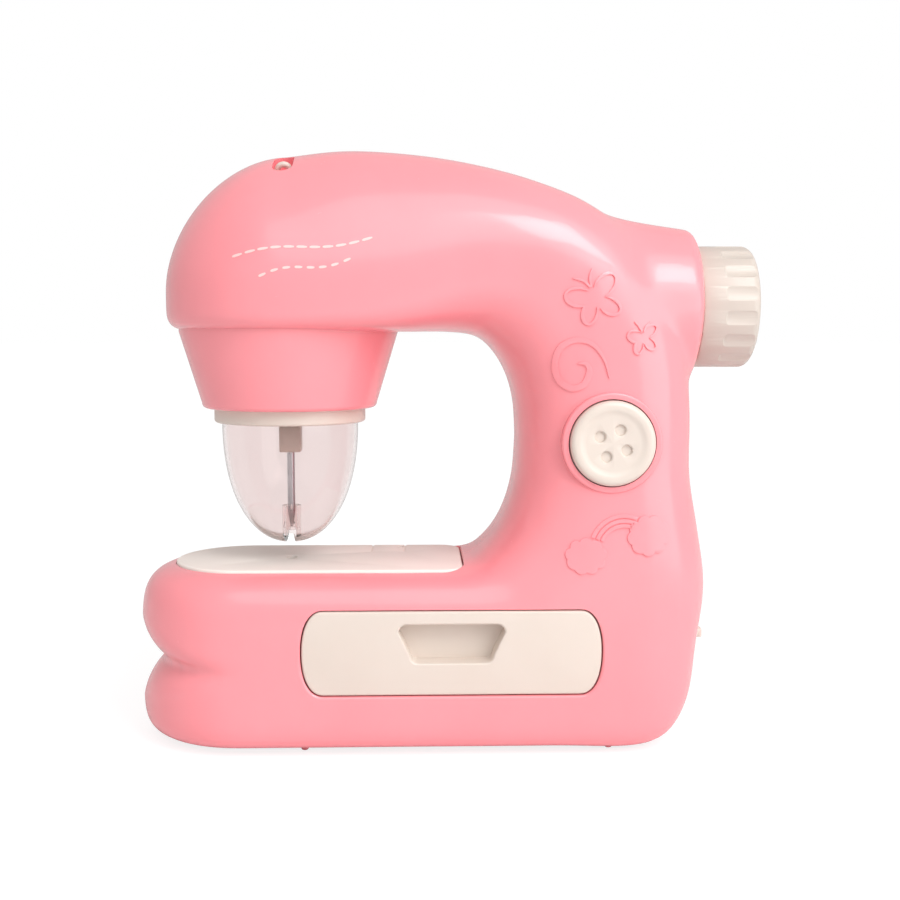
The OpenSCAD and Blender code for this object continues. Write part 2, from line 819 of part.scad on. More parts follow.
module rear_shell() {
    color(pink) difference() {
        union() {
            intersection() {
                union() {
                    difference() {
                        body_solid();
                        body_cavity();
                    }
                    intersection() {
                        body_solid();
                        union() {
                            for (s = screw_places)
                                post(s, head_r, 0, post_r + cut, post_r);
                            translate([button_x, 0, button_z])
                                rod_y(speaker_y, head_r, speaker_r + speaker_seat_w, $fn = bore_sides);
                        }
                    }
                }
                half_space(1);
            }
            feet(1);
        }
        body_cuts();
        box([drawer_x - channel_w / 2, -cut, drawer_z - channel_h / 2],
            [drawer_x + channel_w / 2, tray_back_y + slide_gap, drawer_z + channel_h / 2]);
        // Loudspeaker seat and its sound slots
        translate([button_x, 0, button_z]) {
            rod_y(-cut, speaker_y + speaker_l, speaker_r + fit_gap, $fn = bore_sides);
            for (i = [0:grille_rows - 1])
                let (z = (i - (grille_rows - 1) / 2) * grille_pitch,
                    half = sqrt(pow(speaker_r - grille_pitch, 2) - z * z) - grille_w)
                    hull() for (side = [-1, 1])
                        translate([side * half, 0, z]) rod_y(0, head_r, grille_w / 2, $fn = hole_sides);
        }
        // Screw ways
        for (s = screw_places)
            translate([s[0], 0, s[1]]) {
                rod_y(-cut, head_r, screw_r + fit_gap / 2, $fn = hole_sides);
                rod_y(screw_seat_y, head_r + cut, screw_hole_r, $fn = post_sides);
            }
        // Slot and seat of the power switch
        translate([switch_block_x, switch_y + switch_travel / 2, switch_z])
            box([-fit_gap, -switch_body_w / 2 - fit_gap, -switch_body_h / 2 - fit_gap],
                [switch_body_l + fit_gap, switch_body_w / 2 + fit_gap, switch_body_h / 2 + fit_gap]);
        translate([0, switch_y, switch_z])
            box([back_x - switch_out * 4, -switch_w / 2 - slide_gap, -switch_h / 2 - slide_gap],
                [back_x + cut, switch_w / 2 + switch_travel + slide_gap, switch_h / 2 + slide_gap]);
    }
}

// Needle unit places
cup_flange_w = 1.6;
cup_flange_t = 1.5;
cup_edge_r = 2;
ring_edge = 0.8;
ring_neck_r = ring_r - ring_edge;
ring_flange_w = 1.3;
ring_flange_r = ring_r + ring_flange_w;
web_z = cup_low_z + cup_wall + fit_gap;
web_t = 2;
guide_h = 18;
guide_wall = 2.4;
lamp_in = 14;
lamp_r = 2.4;
lamp_rim = 0.7;
lamp_l = 3.5;
guard_steps = 18;
guard_roundness = 2.2;
tube_gap = 0.6;
tube_bore_r = needle_r + tube_gap;
clamp_top_z = ring_low_z - clamp_drop;
clamp_low_z = clamp_top_z - clamp_h;
needle_hold = 5;
tip_gap = 1;
needle_tip_z = guard_low_z + stroke_down + tip_gap;
needle_taper = 6;
needle_tip_r = 0.4;
clamp_screw_r = 1.8;
clamp_screw_l = 2.2;

module needle_cup() {
    top = arm_z + wall + fit_gap;
    edge = [for (k = [0:4]) let (a = 90 * k / 4)
        [cup_low_r - cup_edge_r * (1 - cos(a)), cup_low_z + cup_edge_r * (1 - sin(a))]];
    color(pink) translate([needle_x, 0, 0]) rotate_extrude()
        polygon(concat(
            [
                [cup_top_r - cup_wall, top + cup_flange_t],
                [cup_top_r + cup_flange_w, top + cup_flange_t],
                [cup_top_r + cup_flange_w, top], [cup_top_r, top], [cup_top_r, arm_z]
            ],
            edge,
            [
                [ring_neck_r + fit_gap, cup_low_z],
                [ring_neck_r + fit_gap, cup_low_z + cup_wall],
                [cup_low_r - cup_wall, cup_low_z + cup_wall], [cup_top_r - cup_wall, arm_z]
            ]
        ));
}

module trim_ring() {
    bore = bar_r + run_gap;
    inner = guard_r + fit_gap;
    top = cup_low_z - fit_gap / 2;
    color(ivory) difference() {
        translate([needle_x, 0, 0]) rotate_extrude()
            polygon([
                [bore, web_z], [inner, web_z], [inner, ring_low_z],
                [ring_r - ring_edge, ring_low_z], [ring_r, ring_low_z + ring_edge],
                [ring_r, top], [ring_neck_r, top], [ring_neck_r, web_z],
                [ring_flange_r, web_z], [ring_flange_r, web_z + web_t],
                [bar_r + guide_wall, web_z + web_t], [bar_r + guide_wall, web_z + guide_h],
                [bore, web_z + guide_h]
            ]);
        translate([needle_x + lamp_in, 0, web_z - cut])
            cylinder(r = lamp_r + fit_gap / 2, h = web_t + 2 * cut);
    }
}

// Half outline of the clear dome at one wall depth, from the rim to a small radius
function dome(inset, k) = let (a = 90 * k / guard_steps) [
    (guard_r - inset) * power(cos(a), guard_roundness),
    ring_low_z - (guard_h - inset) * power(sin(a), guard_roundness)
];
module needle_guard() {
    outside = [for (k = [0:guard_steps]) if (dome(0, k)[0] > tube_bore_r) dome(0, k)];
    inside = [for (k = [guard_steps:-1:0])
        if (dome(guard_wall, k)[0] > guide_tube_r + run_gap) dome(guard_wall, k)];
    tip_z = outside[len(outside) - 1][1];
    foot_z = inside[0][1];
    top = web_z - fit_gap;
    color(clear) translate([needle_x, 0, 0]) difference() {
        rotate_extrude()
            polygon(concat(
                [[guard_r, top]], outside,
                [
                    [tube_bore_r, tip_z], [tube_bore_r, guard_low_z + guide_tube_h],
                    [guide_tube_r, guard_low_z + guide_tube_h], [guide_tube_r, foot_z]
                ],
                inside, [[guard_r - guard_wall, top]]
            ));
        box([-guard_slot_w / 2, -guard_r, guard_low_z - cut],
            [guard_slot_w / 2, guard_r, guard_low_z + guard_slot_h]);
    }
}

module lamp() {
    color("#fff6dd") translate([needle_x + lamp_in, 0, 0]) {
        translate([0, 0, web_z - lamp_r / 2]) cylinder(r = lamp_r, h = web_t + lamp_r / 2 + fit_gap);
        translate([0, 0, web_z - lamp_r / 2]) sphere(r = lamp_r);
        translate([0, 0, web_z + web_t + fit_gap / 2]) cylinder(r = lamp_r + lamp_rim, h = lamp_l);
    }
}

// Crank and yoke places
crank_pin_r = 1.5;
crank_pin_l = 4;
crank_t = 4;
crank_gap = 1;
bush_x = left_rib_x + rib_t / 2 - bush_l / 2;
crank_x = bush_x - crank_gap - crank_t;
yoke_gap = 0.4;
yoke_t = 3;
yoke_x = crank_x - crank_pin_l - yoke_gap;
yoke_rim = 2.5;
pin_drop = (stroke_up - stroke_down) / 2;
pin_angle = asin(pin_drop / crank_throw);
slot_z = shaft_z - pin_drop;
slot_half_h = crank_pin_r + slide_gap;
slot_half_w = crank_throw + crank_pin_r + slide_gap;

module needle_bar() {
    top = slot_z + slot_half_h + yoke_rim;
    color(steel) {
        translate([needle_x, 0, clamp_top_z]) cylinder(r = bar_r, h = top - clamp_top_z);
        difference() {
            box([needle_x, -slot_half_w - yoke_rim, slot_z - slot_half_h - yoke_rim],
                [yoke_x, slot_half_w + yoke_rim, top]);
            box([needle_x + bar_r + fit_gap, -slot_half_w, slot_z - slot_half_h],
                [yoke_x + cut, slot_half_w, slot_z + slot_half_h]);
        }
    }
}
module needle_clamp() {
    color(grey) difference() {
        union() {
            translate([needle_x, 0, 0])
                box([-clamp_w / 2, -clamp_w / 2, clamp_low_z], [clamp_w / 2, clamp_w / 2, clamp_top_z]);
            translate([needle_x + clamp_w / 2, 0, (clamp_low_z + clamp_top_z) / 2])
                rod_x(0, clamp_screw_l, clamp_screw_r);
        }
        translate([needle_x, 0, clamp_low_z - cut])
            cylinder(r = needle_r + run_gap, h = needle_hold + cut);
    }
}
module needle() {
    color(steel) translate([needle_x, 0, 0]) rotate_extrude()
        polygon([
            [0, needle_tip_z], [needle_tip_r, needle_tip_z],
            [needle_r, needle_tip_z + needle_taper],
            [needle_r, clamp_low_z + needle_hold - fit_gap], [0, clamp_low_z + needle_hold - fit_gap]
        ]);
}
module crank_disc() {
    color(ivory) translate([0, 0, shaft_z]) {
        difference() {
            rod_x(crank_x, crank_x + crank_t, crank_disc_r);
            rod_x(crank_x + crank_t / 2, crank_x + crank_t + cut, shaft_r + run_gap);
        }
        translate([0, crank_throw * cos(pin_angle), -crank_throw * sin(pin_angle)])
            rod_x(crank_x - crank_pin_l, crank_x + crank_t / 2, crank_pin_r);
    }
}

// Main shaft, its bushes and the gear pair
wheel_bore_l = 10;
module main_shaft() {
    color(steel) translate([0, 0, shaft_z])
        rod_x(crank_x + crank_t / 2 + run_gap, wheel_x + wheel_bore_l - fit_gap, shaft_r);
}
module bush(x, flange_x) {
    color(brass) translate([0, 0, shaft_z]) difference() {
        union() {
            rod_x(x, x + bush_l, bush_r);
            rod_x(flange_x, flange_x + bush_flange_t, bush_flange_r);
        }
        rod_x(x - cut, x + bush_l + cut, shaft_r + run_gap);
    }
}
module left_bush() {
    bush(bush_x, left_rib_x + rib_t + fit_gap / 2);
}
right_bush_x = boss_end_x - bush_l - fit_gap;
module right_bush() {
    bush(right_bush_x, boss_end_x - wall - fit_gap / 2 - bush_flange_t);
}

addendum_share = 0.7;
dedendum_share = 1.1;
backlash_share = 0.08;
pressure = 20;
flank_steps = 3;
function involute(a) = tan(a) * 180 / PI - a;
// Half angle of a tooth at one radius
function tooth_half(teeth, r) = let (
        pitch = gear_module * teeth / 2,
        base = pitch * cos(pressure)
    )
    (90 - 180 * backlash_share) / teeth + involute(pressure)
    - (r <= base ? 0 : involute(acos(base / r)));
module gear_form(teeth) {
    pitch = gear_module * teeth / 2;
    root = pitch - gear_module * dedendum_share;
    low = max(root, pitch * cos(pressure));
    tip = pitch + gear_module * addendum_share;
    radii = [for (k = [0:flank_steps]) low + (tip - low) * k / flank_steps];
    polygon([for (i = [0:teeth - 1]) let (mid = 360 * i / teeth) each concat(
        [let (a = mid - tooth_half(teeth, low)) root * [cos(a), sin(a)]],
        [for (r = radii) let (a = mid - tooth_half(teeth, r)) r * [cos(a), sin(a)]],
        [for (k = [flank_steps:-1:0]) let (a = mid + tooth_half(teeth, radii[k]))
            radii[k] * [cos(a), sin(a)]],
        [let (a = mid + tooth_half(teeth, low)) root * [cos(a), sin(a)]]
    )]);
}
gear_hub_r = 4;
gear_hub_l = 3;
module drive_gear() {
    color(ivory) translate([0, 0, shaft_z]) difference() {
        union() {
            translate([gear_x, 0, 0]) rotate([0, 90, 0])
                linear_extrude(height = gear_w) gear_form(gear_teeth);
            rod_x(gear_x - gear_hub_l, gear_x, gear_hub_r);
        }
        rod_x(gear_x - gear_hub_l - cut, gear_x + gear_w + cut, shaft_r + run_gap);
    }
}
motor_shaft_r = 1;
motor_shaft_in = 6;
pinion_over = 0.5;
motor_nose_r = 3;
motor_nose_l = 1.5;
motor_tail_r = 3.4;
motor_tail_l = 1.8;
module motor_pinion() {
    color(ivory) translate([0, 0, pinion_z]) {
        translate([gear_x - pinion_over, 0, 0]) rotate([0, 90, 0])
            linear_extrude(height = gear_w + 2 * pinion_over)
                rotate([0, 0, 180 / pinion_teeth]) gear_form(pinion_teeth);
        rod_x(gear_x, motor_x + motor_shaft_in - fit_gap, motor_shaft_r);
    }
}
module motor() {
    color(steel) translate([0, 0, pinion_z]) difference() {
        union() {
            rod_x(motor_x, motor_x + motor_l, motor_r);
            rod_x(motor_x - motor_nose_l, motor_x, motor_nose_r);
            rod_x(motor_x + motor_l, motor_x + motor_l + motor_tail_l, motor_tail_r);
        }
        rod_x(motor_x - motor_nose_l - cut, motor_x + motor_shaft_in, motor_shaft_r + run_gap);
    }
}

// Handwheel with scooped grip flutes
wheel_back_edge = 1;
wheel_dish = 1;
wheel_rim_w = 3;
wheel_arc_steps = 4;
module handwheel() {
    arc = [for (k = [0:wheel_arc_steps]) let (a = 90 * k / wheel_arc_steps)
        [wheel_r - wheel_edge_r * (1 - cos(a)), wheel_l - wheel_edge_r * (1 - sin(a))]];
    rim = wheel_r - wheel_edge_r - wheel_rim_w;
    color(ivory) translate([wheel_x, 0, shaft_z]) difference() {
        rotate([0, 90, 0]) rotate_extrude()
            polygon(concat(
                [[0, 0], [wheel_r - wheel_back_edge, 0], [wheel_r, wheel_back_edge]],
                arc,
                [[rim, wheel_l], [rim - wheel_dish, wheel_l - wheel_dish], [0, wheel_l - wheel_dish]]
            ));
        rod_x(-cut, wheel_bore_l, shaft_r + run_gap);
        for (i = [0:flute_n - 1])
            rotate([360 * (i + 0.5) / flute_n, 0, 0])
                translate([0, 0, wheel_r + flute_r - flute_depth])
                    rod_x(wheel_band_l, wheel_l + cut, flute_r);
    }
}

// Bed plate with the needle slot, two seam lines and a peg slot
seam_shares = [0.68, 0.80];
seam_w = 0.8;
seam_l = 16;
seam_depth = 0.5;
peg_w = 3;
peg_l = 6;
plate_slot_l = 7;
module bed_plate() {
    turn_x = plate_x + plate_d;
    end_x = plate_x + plate_l;
    color(ivory) difference() {
        translate([0, 0, plate_z]) {
            translate([turn_x, 0, 0]) cylinder(r = plate_d, h = plate_t);
            box([turn_x, -plate_d, 0], [end_x - plate_corner_r, plate_d, plate_t]);
            box([end_x - 2 * plate_corner_r, plate_corner_r - plate_d, 0],
                [end_x, plate_d - plate_corner_r, plate_t]);
            for (side = [-1, 1])
                translate([end_x - plate_corner_r, side * (plate_d - plate_corner_r), 0])
                    cylinder(r = plate_corner_r, h = plate_t);
        }
        for (side = [-1, 1])
            translate([needle_x, side * (plate_slot_l - plate_slot_w) / 2, plate_z - cut])
                cylinder(r = plate_slot_w / 2, h = plate_t + 2 * cut);
        translate([needle_x, 0, plate_z - cut])
            box([-plate_slot_w / 2, (plate_slot_w - plate_slot_l) / 2, 0],
                [plate_slot_w / 2, (plate_slot_l - plate_slot_w) / 2, plate_t + 2 * cut]);
        for (share = seam_shares)
            translate([plate_x + plate_l * share, 0, base_h - seam_depth])
                box([-seam_w / 2, plate_d - seam_l, 0], [seam_w / 2, plate_d + cut, cut]);
        translate([plate_x + plate_l * seam_shares[1], 0, plate_z - cut])
            box([-peg_w, plate_d - peg_l, 0], [-seam_w, plate_d - peg_l / 2, plate_t + 2 * cut]);
    }
}

// Drawer: a flush front with a finger recess, and an open tray
recess_r = 3;
recess_drop = 3.4;
module recess_outline(grow) {
    r = recess_r + grow;
    translate([0, recess_drop - grow]) hull() for (side = [-1, 1]) {
        translate([side * (recess_top_w / 2 - recess_r), recess_h / 2 - recess_r + grow]) circle(r = r);
        translate([side * (recess_low_w / 2 - recess_r), recess_r - recess_h / 2 + grow]) circle(r = r);
    }
}
module drawer() {
    color(ivory) translate([drawer_x, 0, drawer_z]) difference() {
        union() {
            translate([0, drawer_front_y + drawer_front_t, 0])
                rotate([90, 0, 0]) linear_extrude(height = drawer_front_t) drawer_outline(0);
            difference() {
                box([-tray_w / 2, drawer_front_y + drawer_front_t, -tray_h / 2],
                    [tray_w / 2, tray_back_y, tray_h / 2]);
                box([tray_wall - tray_w / 2, drawer_front_y, tray_wall - tray_h / 2],
                    [tray_w / 2 - tray_wall, tray_back_y - tray_wall, tray_h]);
            }
            translate([0, drawer_front_y + recess_l, 0])
                rotate([90, 0, 0])
                    linear_extrude(height = recess_l - drawer_front_t / 2) recess_outline(tray_wall);
        }
        translate([0, drawer_front_y + recess_l - tray_wall, 0])
            rotate([90, 0, 0]) linear_extrude(height = recess_l) recess_outline(0);
    }
}

// Push button shaped like a four-hole clothes button
button_edge = 1.6;
button_dish = 0.7;
button_dish_r = 11;
button_rim_r = 12.2;
button_wall = 2;
button_face_t = 3;
button_stem_r = 3;
button_turn = -18;
button_hole_depth = 1.6;
button_flange_y = fit_gap + wall - column_d;
push_w = 6;
push_t = 3.5;
button_rest = 0.3;
module start_button() {
    flange_in = button_flange_y - button_face_y;
    stem_l = board_y - push_t - button_travel - button_rest - button_face_y;
    edge = [for (k = [0:3]) let (a = 90 * k / 3)
        [button_r - button_edge * (1 - sin(a)), button_edge * (1 - cos(a))]];
    color(ivory) translate([button_x, button_face_y, button_z]) difference() {
        rotate([-90, 0, 0]) rotate_extrude()
            polygon(concat(
                [[0, button_dish], [button_dish_r, button_dish], [button_rim_r, 0]],
                edge,
                [
                    [button_r, flange_in], [button_r + button_flange_w, flange_in],
                    [button_r + button_flange_w, flange_in + button_flange_t],
                    [button_r - button_wall, flange_in + button_flange_t],
                    [button_r - button_wall, button_face_t], [button_stem_r, button_face_t],
                    [button_stem_r, stem_l], [0, stem_l]
                ]
            ));
        rotate([0, button_turn, 0])
            for (sx = [-1, 1]) for (sz = [-1, 1])
                translate([sx * button_hole_pitch / 2, 0, sz * button_hole_pitch / 2])
                    rod_y(-cut, button_dish + button_hole_depth, button_hole_r);
    }
}

// Wire wound as one tube: rings of points along a helix, capped at both ends
spring_r = 6;
spring_wire_r = 0.45;
spring_turns = 6;
spring_sides = 6;
spring_rings = 10;
spring_low = button_face_y + button_face_t + spring_wire_r + fit_gap;
spring_high = board_y - spring_wire_r - fit_gap;
module button_spring() {
    count = spring_turns * spring_rings;
    points = [for (i = [0:count]) let (turn = 360 * i / spring_rings)
        for (j = [0:spring_sides - 1]) let (
            a = 360 * j / spring_sides,
            r = spring_r + spring_wire_r * cos(a)
        )
        [r * cos(turn), spring_low + (spring_high - spring_low) * i / count
            + spring_wire_r * sin(a), r * sin(turn)]];
    sides = [for (i = [0:count - 1]) for (j = [0:spring_sides - 1]) let (
            a = i * spring_sides + j,
            b = i * spring_sides + (j + 1) % spring_sides
        )
        each [[a, b, a + spring_sides], [b, b + spring_sides, a + spring_sides]]];
    caps = [
        [for (j = [spring_sides - 1:-1:0]) j],
        [for (j = [0:spring_sides - 1]) count * spring_sides + j]
    ];
    color(steel) translate([button_x, 0, button_z]) polyhedron(points, concat(sides, caps));
}

// Circuit board, push switch, loudspeaker and power switch
chip_w = 9;
chip_t = 1.4;
chip_in = 11;
can_r = 2.6;
can_l = 6;
module circuit_board() {
    back = board_y + board_t;
    color(green) translate([button_x, 0, button_z]) {
        box([-board_w / 2, board_y, -board_h / 2], [board_w / 2, back, board_h / 2]);
        translate([-chip_in, 0, chip_in / 2])
            box([-chip_w / 2, back - board_t / 2, -chip_w / 2], [chip_w / 2, back + chip_t, chip_w / 2]);
        translate([chip_in, 0, -chip_in / 2]) rod_y(back - board_t / 2, back + can_l, can_r);
    }
}
module push_switch() {
    color("#333338") translate([button_x, 0, button_z])
        box([-push_w / 2, board_y - push_t, -push_w / 2], [push_w / 2, board_y, push_w / 2]);
}
magnet_r = 9;
magnet_l = 5;
module speaker() {
    color("#3a3a3e") translate([button_x, 0, button_z]) {
        rod_y(speaker_y, speaker_y + speaker_l, speaker_r);
        rod_y(speaker_y - magnet_l, speaker_y, magnet_r);
    }
}
switch_block_gap = 2.2;
switch_block_x = back_x - wall - switch_body_l - switch_block_gap;
switch_plate_rim = 1.5;
module power_switch() {
    stem_x = switch_block_x + switch_body_l + fit_gap;
    color(ivory) translate([0, switch_y, switch_z])
        box([stem_x, -switch_w / 2, -switch_h / 2], [back_x + switch_out, switch_w / 2, switch_h / 2]);
}
module switch_block() {
    color("#333338") translate([switch_block_x, switch_y + switch_travel / 2, switch_z])
        box([0, -switch_body_w / 2, -switch_body_h / 2],
            [switch_body_l, switch_body_w / 2, switch_body_h / 2]);
}

// Cells, contacts and the screwed door under them
cell_nub_r = 2.7;
cell_nub_l = 1.2;
module battery_cells() {
    color("#b88b4a") for (i = [0:cell_n - 1]) {
        way = i % 2 == 0 ? 1 : -1;
        translate([door_x, (i - (cell_n - 1) / 2) * cell_pitch, cell_z]) rotate([0, 0, way < 0 ? 180 : 0]) {
            rod_x(-cell_l / 2, cell_l / 2 - cell_nub_l, cell_r);
            rod_x(cell_l / 2 - cell_nub_l, cell_l / 2, cell_nub_r);
        }
    }
}
module battery_contacts() {
    color(steel) for (i = [0:cell_n - 1]) for (side = [-1, 1])
        translate([door_x + side * (cell_l / 2 + bay_gap / 2 + contact_t / 2),
                (i - (cell_n - 1) / 2) * cell_pitch, cell_z])
            box([-contact_t / 2, -contact_w / 2, -contact_h / 2],
                [contact_t / 2, contact_w / 2, contact_h / 2]);
}
module battery_door() {
    color(pink) difference() {
        union() {
            box([door_x - door_l / 2, -door_w / 2, foot_h],
                [door_x + door_l / 2, door_w / 2, foot_h + door_t]);
            box([door_x, -door_tab_w / 2, foot_h],
                [door_x + door_l / 2 + door_tab_l, door_tab_w / 2, foot_h + door_t]);
        }
        translate([door_screw_x, 0, foot_h - cut])
            cylinder(r = screw_r + fit_gap / 2, h = door_t + 2 * cut);
        translate([door_screw_x, 0, foot_h - cut])
            cylinder(r = screw_head_r + fit_gap / 2, h = door_screw_sink + cut);
    }
}
module door_screw() {
    color(steel) translate([door_screw_x, 0, foot_h]) {
        translate([0, 0, fit_gap]) cylinder(r = screw_head_r, h = door_screw_sink - fit_gap);
        translate([0, 0, fit_gap]) cylinder(r = screw_r, h = door_screw_l);
    }
}
module case_screws() {
    color(steel) for (s = screw_places)
        translate([s[0], 0, s[1]]) {
            rod_y(screw_seat_y, screw_seat_y + screw_head_t, screw_head_r);
            rod_y(screw_seat_y - screw_l + cut, screw_seat_y, screw_r);
        }
}
guide_bow_r = 2.4;
module thread_guide() {
    color(ivory) guide_place()
        translate([0, 0, -guide_slot_depth + fit_gap / 2]) {
            rotate([90, 0, 0]) rotate_extrude(angle = 180)
                translate([guide_bow_r, 0]) circle(r = guide_bar_r);
        }
}

front_shell();
rear_shell();
needle_cup();
trim_ring();
needle_guard();
lamp();
bed_plate();
thread_guide();
handwheel();
main_shaft();
left_bush();
right_bush();
drive_gear();
crank_disc();
motor();
motor_pinion();
needle_bar();
needle_clamp();
needle();
drawer();
start_button();
button_spring();
circuit_board();
push_switch();
speaker();
power_switch();
switch_block();
battery_cells();
battery_contacts();
battery_door();
door_screw();
case_screws();
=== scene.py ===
"""Toy sewing machine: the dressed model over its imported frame."""
import logging
import math
from dataclasses import dataclass
from enum import Enum
from functools import partialmethod
from typing import Any, Dict, List, Optional, Sequence, Tuple, Union

import bpy
import numpy as np
from mathutils import Matrix, Vector
from mathutils.kdtree import KDTree


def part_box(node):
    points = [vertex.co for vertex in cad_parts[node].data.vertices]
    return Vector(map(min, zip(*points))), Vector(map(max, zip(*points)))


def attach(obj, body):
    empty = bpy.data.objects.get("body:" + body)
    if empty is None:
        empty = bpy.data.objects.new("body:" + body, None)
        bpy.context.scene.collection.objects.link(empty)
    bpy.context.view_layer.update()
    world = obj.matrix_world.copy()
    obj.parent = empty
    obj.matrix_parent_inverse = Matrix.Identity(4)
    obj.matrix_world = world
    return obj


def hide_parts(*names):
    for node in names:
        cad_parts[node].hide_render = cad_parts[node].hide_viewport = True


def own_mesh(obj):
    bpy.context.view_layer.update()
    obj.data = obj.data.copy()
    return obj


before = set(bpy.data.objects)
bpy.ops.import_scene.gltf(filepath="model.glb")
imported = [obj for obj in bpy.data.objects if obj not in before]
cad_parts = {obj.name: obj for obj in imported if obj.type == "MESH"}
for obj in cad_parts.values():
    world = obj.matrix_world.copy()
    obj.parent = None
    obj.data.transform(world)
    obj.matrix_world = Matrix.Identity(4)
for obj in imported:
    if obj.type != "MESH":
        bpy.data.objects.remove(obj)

LOG = logging.getLogger("sewing_machine")
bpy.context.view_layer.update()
MM = 0.001
TINY = 1e-6
AHEAD = -60.0
BEHIND = 60.0
Thing = bpy.types.Object
Point = Tuple[float, float, float]
Flat = Tuple[float, float]
Relief = Tuple[List[List[Flat]], List[List[Flat]]]
Key = Union[int, str]
Sockets = Dict[Key, Any]


class Axis(Enum):
    """Axis that a turned piece is spun about."""

    X = (1.0, 0.0, 0.0)
    Y = (0.0, 1.0, 0.0)
    Z = (0.0, 0.0, 1.0)


class Join(Enum):
    """Way in which two solids are put together."""

    ADD = "UNION"
    CUT = "DIFFERENCE"
    KEEP = "INTERSECT"


class Wire:
    """A shader socket that takes part in Python arithmetic."""

    def __init__(self, pot: "Pot", socket: Any) -> None:
        """Wraps one output socket of a pot's node tree."""
        self.pot, self.socket = pot, socket

    def maths(self, operation: str, other: Any, swap: bool = False) -> "Wire":
        """Adds one Math node of an operation on this wire and another value or wire."""
        left, right = (other, self) if swap else (self, other)
        return self.pot.node("ShaderNodeMath", {"operation": operation}, {0: left, 1: right})

    __add__ = partialmethod(maths, "ADD")
    __radd__ = partialmethod(maths, "ADD", swap=True)
    __sub__ = partialmethod(maths, "SUBTRACT")
    __rsub__ = partialmethod(maths, "SUBTRACT", swap=True)
    __mul__ = partialmethod(maths, "MULTIPLY")
    __rmul__ = partialmethod(maths, "MULTIPLY", swap=True)

    def between(self, low: float, high: float) -> "Wire":
        """The value's share of the way from low to high, held within 0 and 1."""
        return self.pot.node("ShaderNodeMapRange", {"clamp": True}, {0: self, 1: low, 2: high})


class Pot:
    """A node tree that finishes are mixed in."""

    def __init__(self, tree: Any) -> None:
        """Empties a node tree and takes it over."""
        self.tree = tree
        self.tree.nodes.clear()

    @classmethod
    def fresh(cls, name: str) -> Tuple[bpy.types.Material, "Pot"]:
        """Makes a material.

        Args:
            name: name of the material.

        Returns:
            The material and the pot that it is mixed in.
        """
        material = bpy.data.materials.new(name)
        material.use_nodes = True
        return material, cls(material.node_tree)

    def node(self, kind: str, settings: Optional[Dict[str, Any]] = None,
             sockets: Optional[Sockets] = None, output: Key = 0) -> Wire:
        """Makes one node.

        Args:
            kind: the node's type.
            settings: its properties, set first.
            sockets: values or wires for its inputs.
            output: the output to hand back.

        Returns:
            That output as a wire.
        """
        made = self.tree.nodes.new(kind)
        for key, value in (settings or {}).items():
            setattr(made, key, value)
        for key, value in (sockets or {}).items():
            if isinstance(value, Wire):
                self.tree.links.new(value.socket, made.inputs[key])
            else:
                made.inputs[key].default_value = value
        return Wire(self, made.outputs[output] if len(made.outputs) else None)

    def place(self, scale: Point = (1.0, 1.0, 1.0)) -> Wire:
        """Object coordinates, stretched."""
        where = self.node("ShaderNodeTexCoord", output="Object")
        return self.node("ShaderNodeMapping", {}, {"Vector": where, "Scale": scale})

    def noise(self, where: Wire, scale: float, detail: float = 2.0, rough: float = 0.5) -> Wire:
        """Noise value at a scale in features per metre."""
        return self.node("ShaderNodeTexNoise", {}, {
            "Vector": where, "Scale": scale, "Detail": detail, "Roughness": rough})

    def blend(self, share: Any, low: Any, high: Any) -> Wire:
        """Mixes two colours or colour wires by a share."""
        return self.node("ShaderNodeMix", {"data_type": "RGBA"}, {0: share, 6: low, 7: high}, 2)

    def bump(self, height: Wire, depth: float, strength: float = 1.0) -> Wire:
        """Normal that follows a height, whose full range is a depth in millimetres."""
        return self.node("ShaderNodeBump", {}, {
            "Height": height, "Distance": depth * MM, "Strength": strength}, "Normal")

    def close(self, shader: Wire) -> None:
        """Links the shader to the surface."""
        self.node("ShaderNodeOutputMaterial", {}, {"Surface": shader})


def linear(rgb: Sequence[float], gain: float = 1.0) -> Tuple[float, ...]:
    """Linear colour of a socket from an sRGB colour of 0 to 255, darkened by a gain."""
    parts = [c * gain / 255.0 for c in rgb]
    return (*(p / 12.92 if p <= 0.04045 else ((p + 0.055) / 1.055) ** 2.4 for p in parts), 1.0)


@dataclass(frozen=True)
class Finish:
    """A named colour, and the material that is mixed from it."""

    name: str
    colour: Point

    def mix(self, pot: Pot) -> Sockets:
        """What a finish is mixed from, which each kind of finish says for itself.

        Args:
            pot: the pot to mix in.

        Returns:
            Values and wires for the shader's sockets.
        """
        raise NotImplementedError

    def make(self) -> bpy.types.Material:
        """Builds the material.

        Returns:
            The material.
        """
        material, pot = Pot.fresh(self.name)
        settings = {"subsurface_method": "BURLEY"}
        pot.close(pot.node("ShaderNodeBsdfPrincipled", settings, self.mix(pot)))
        return material


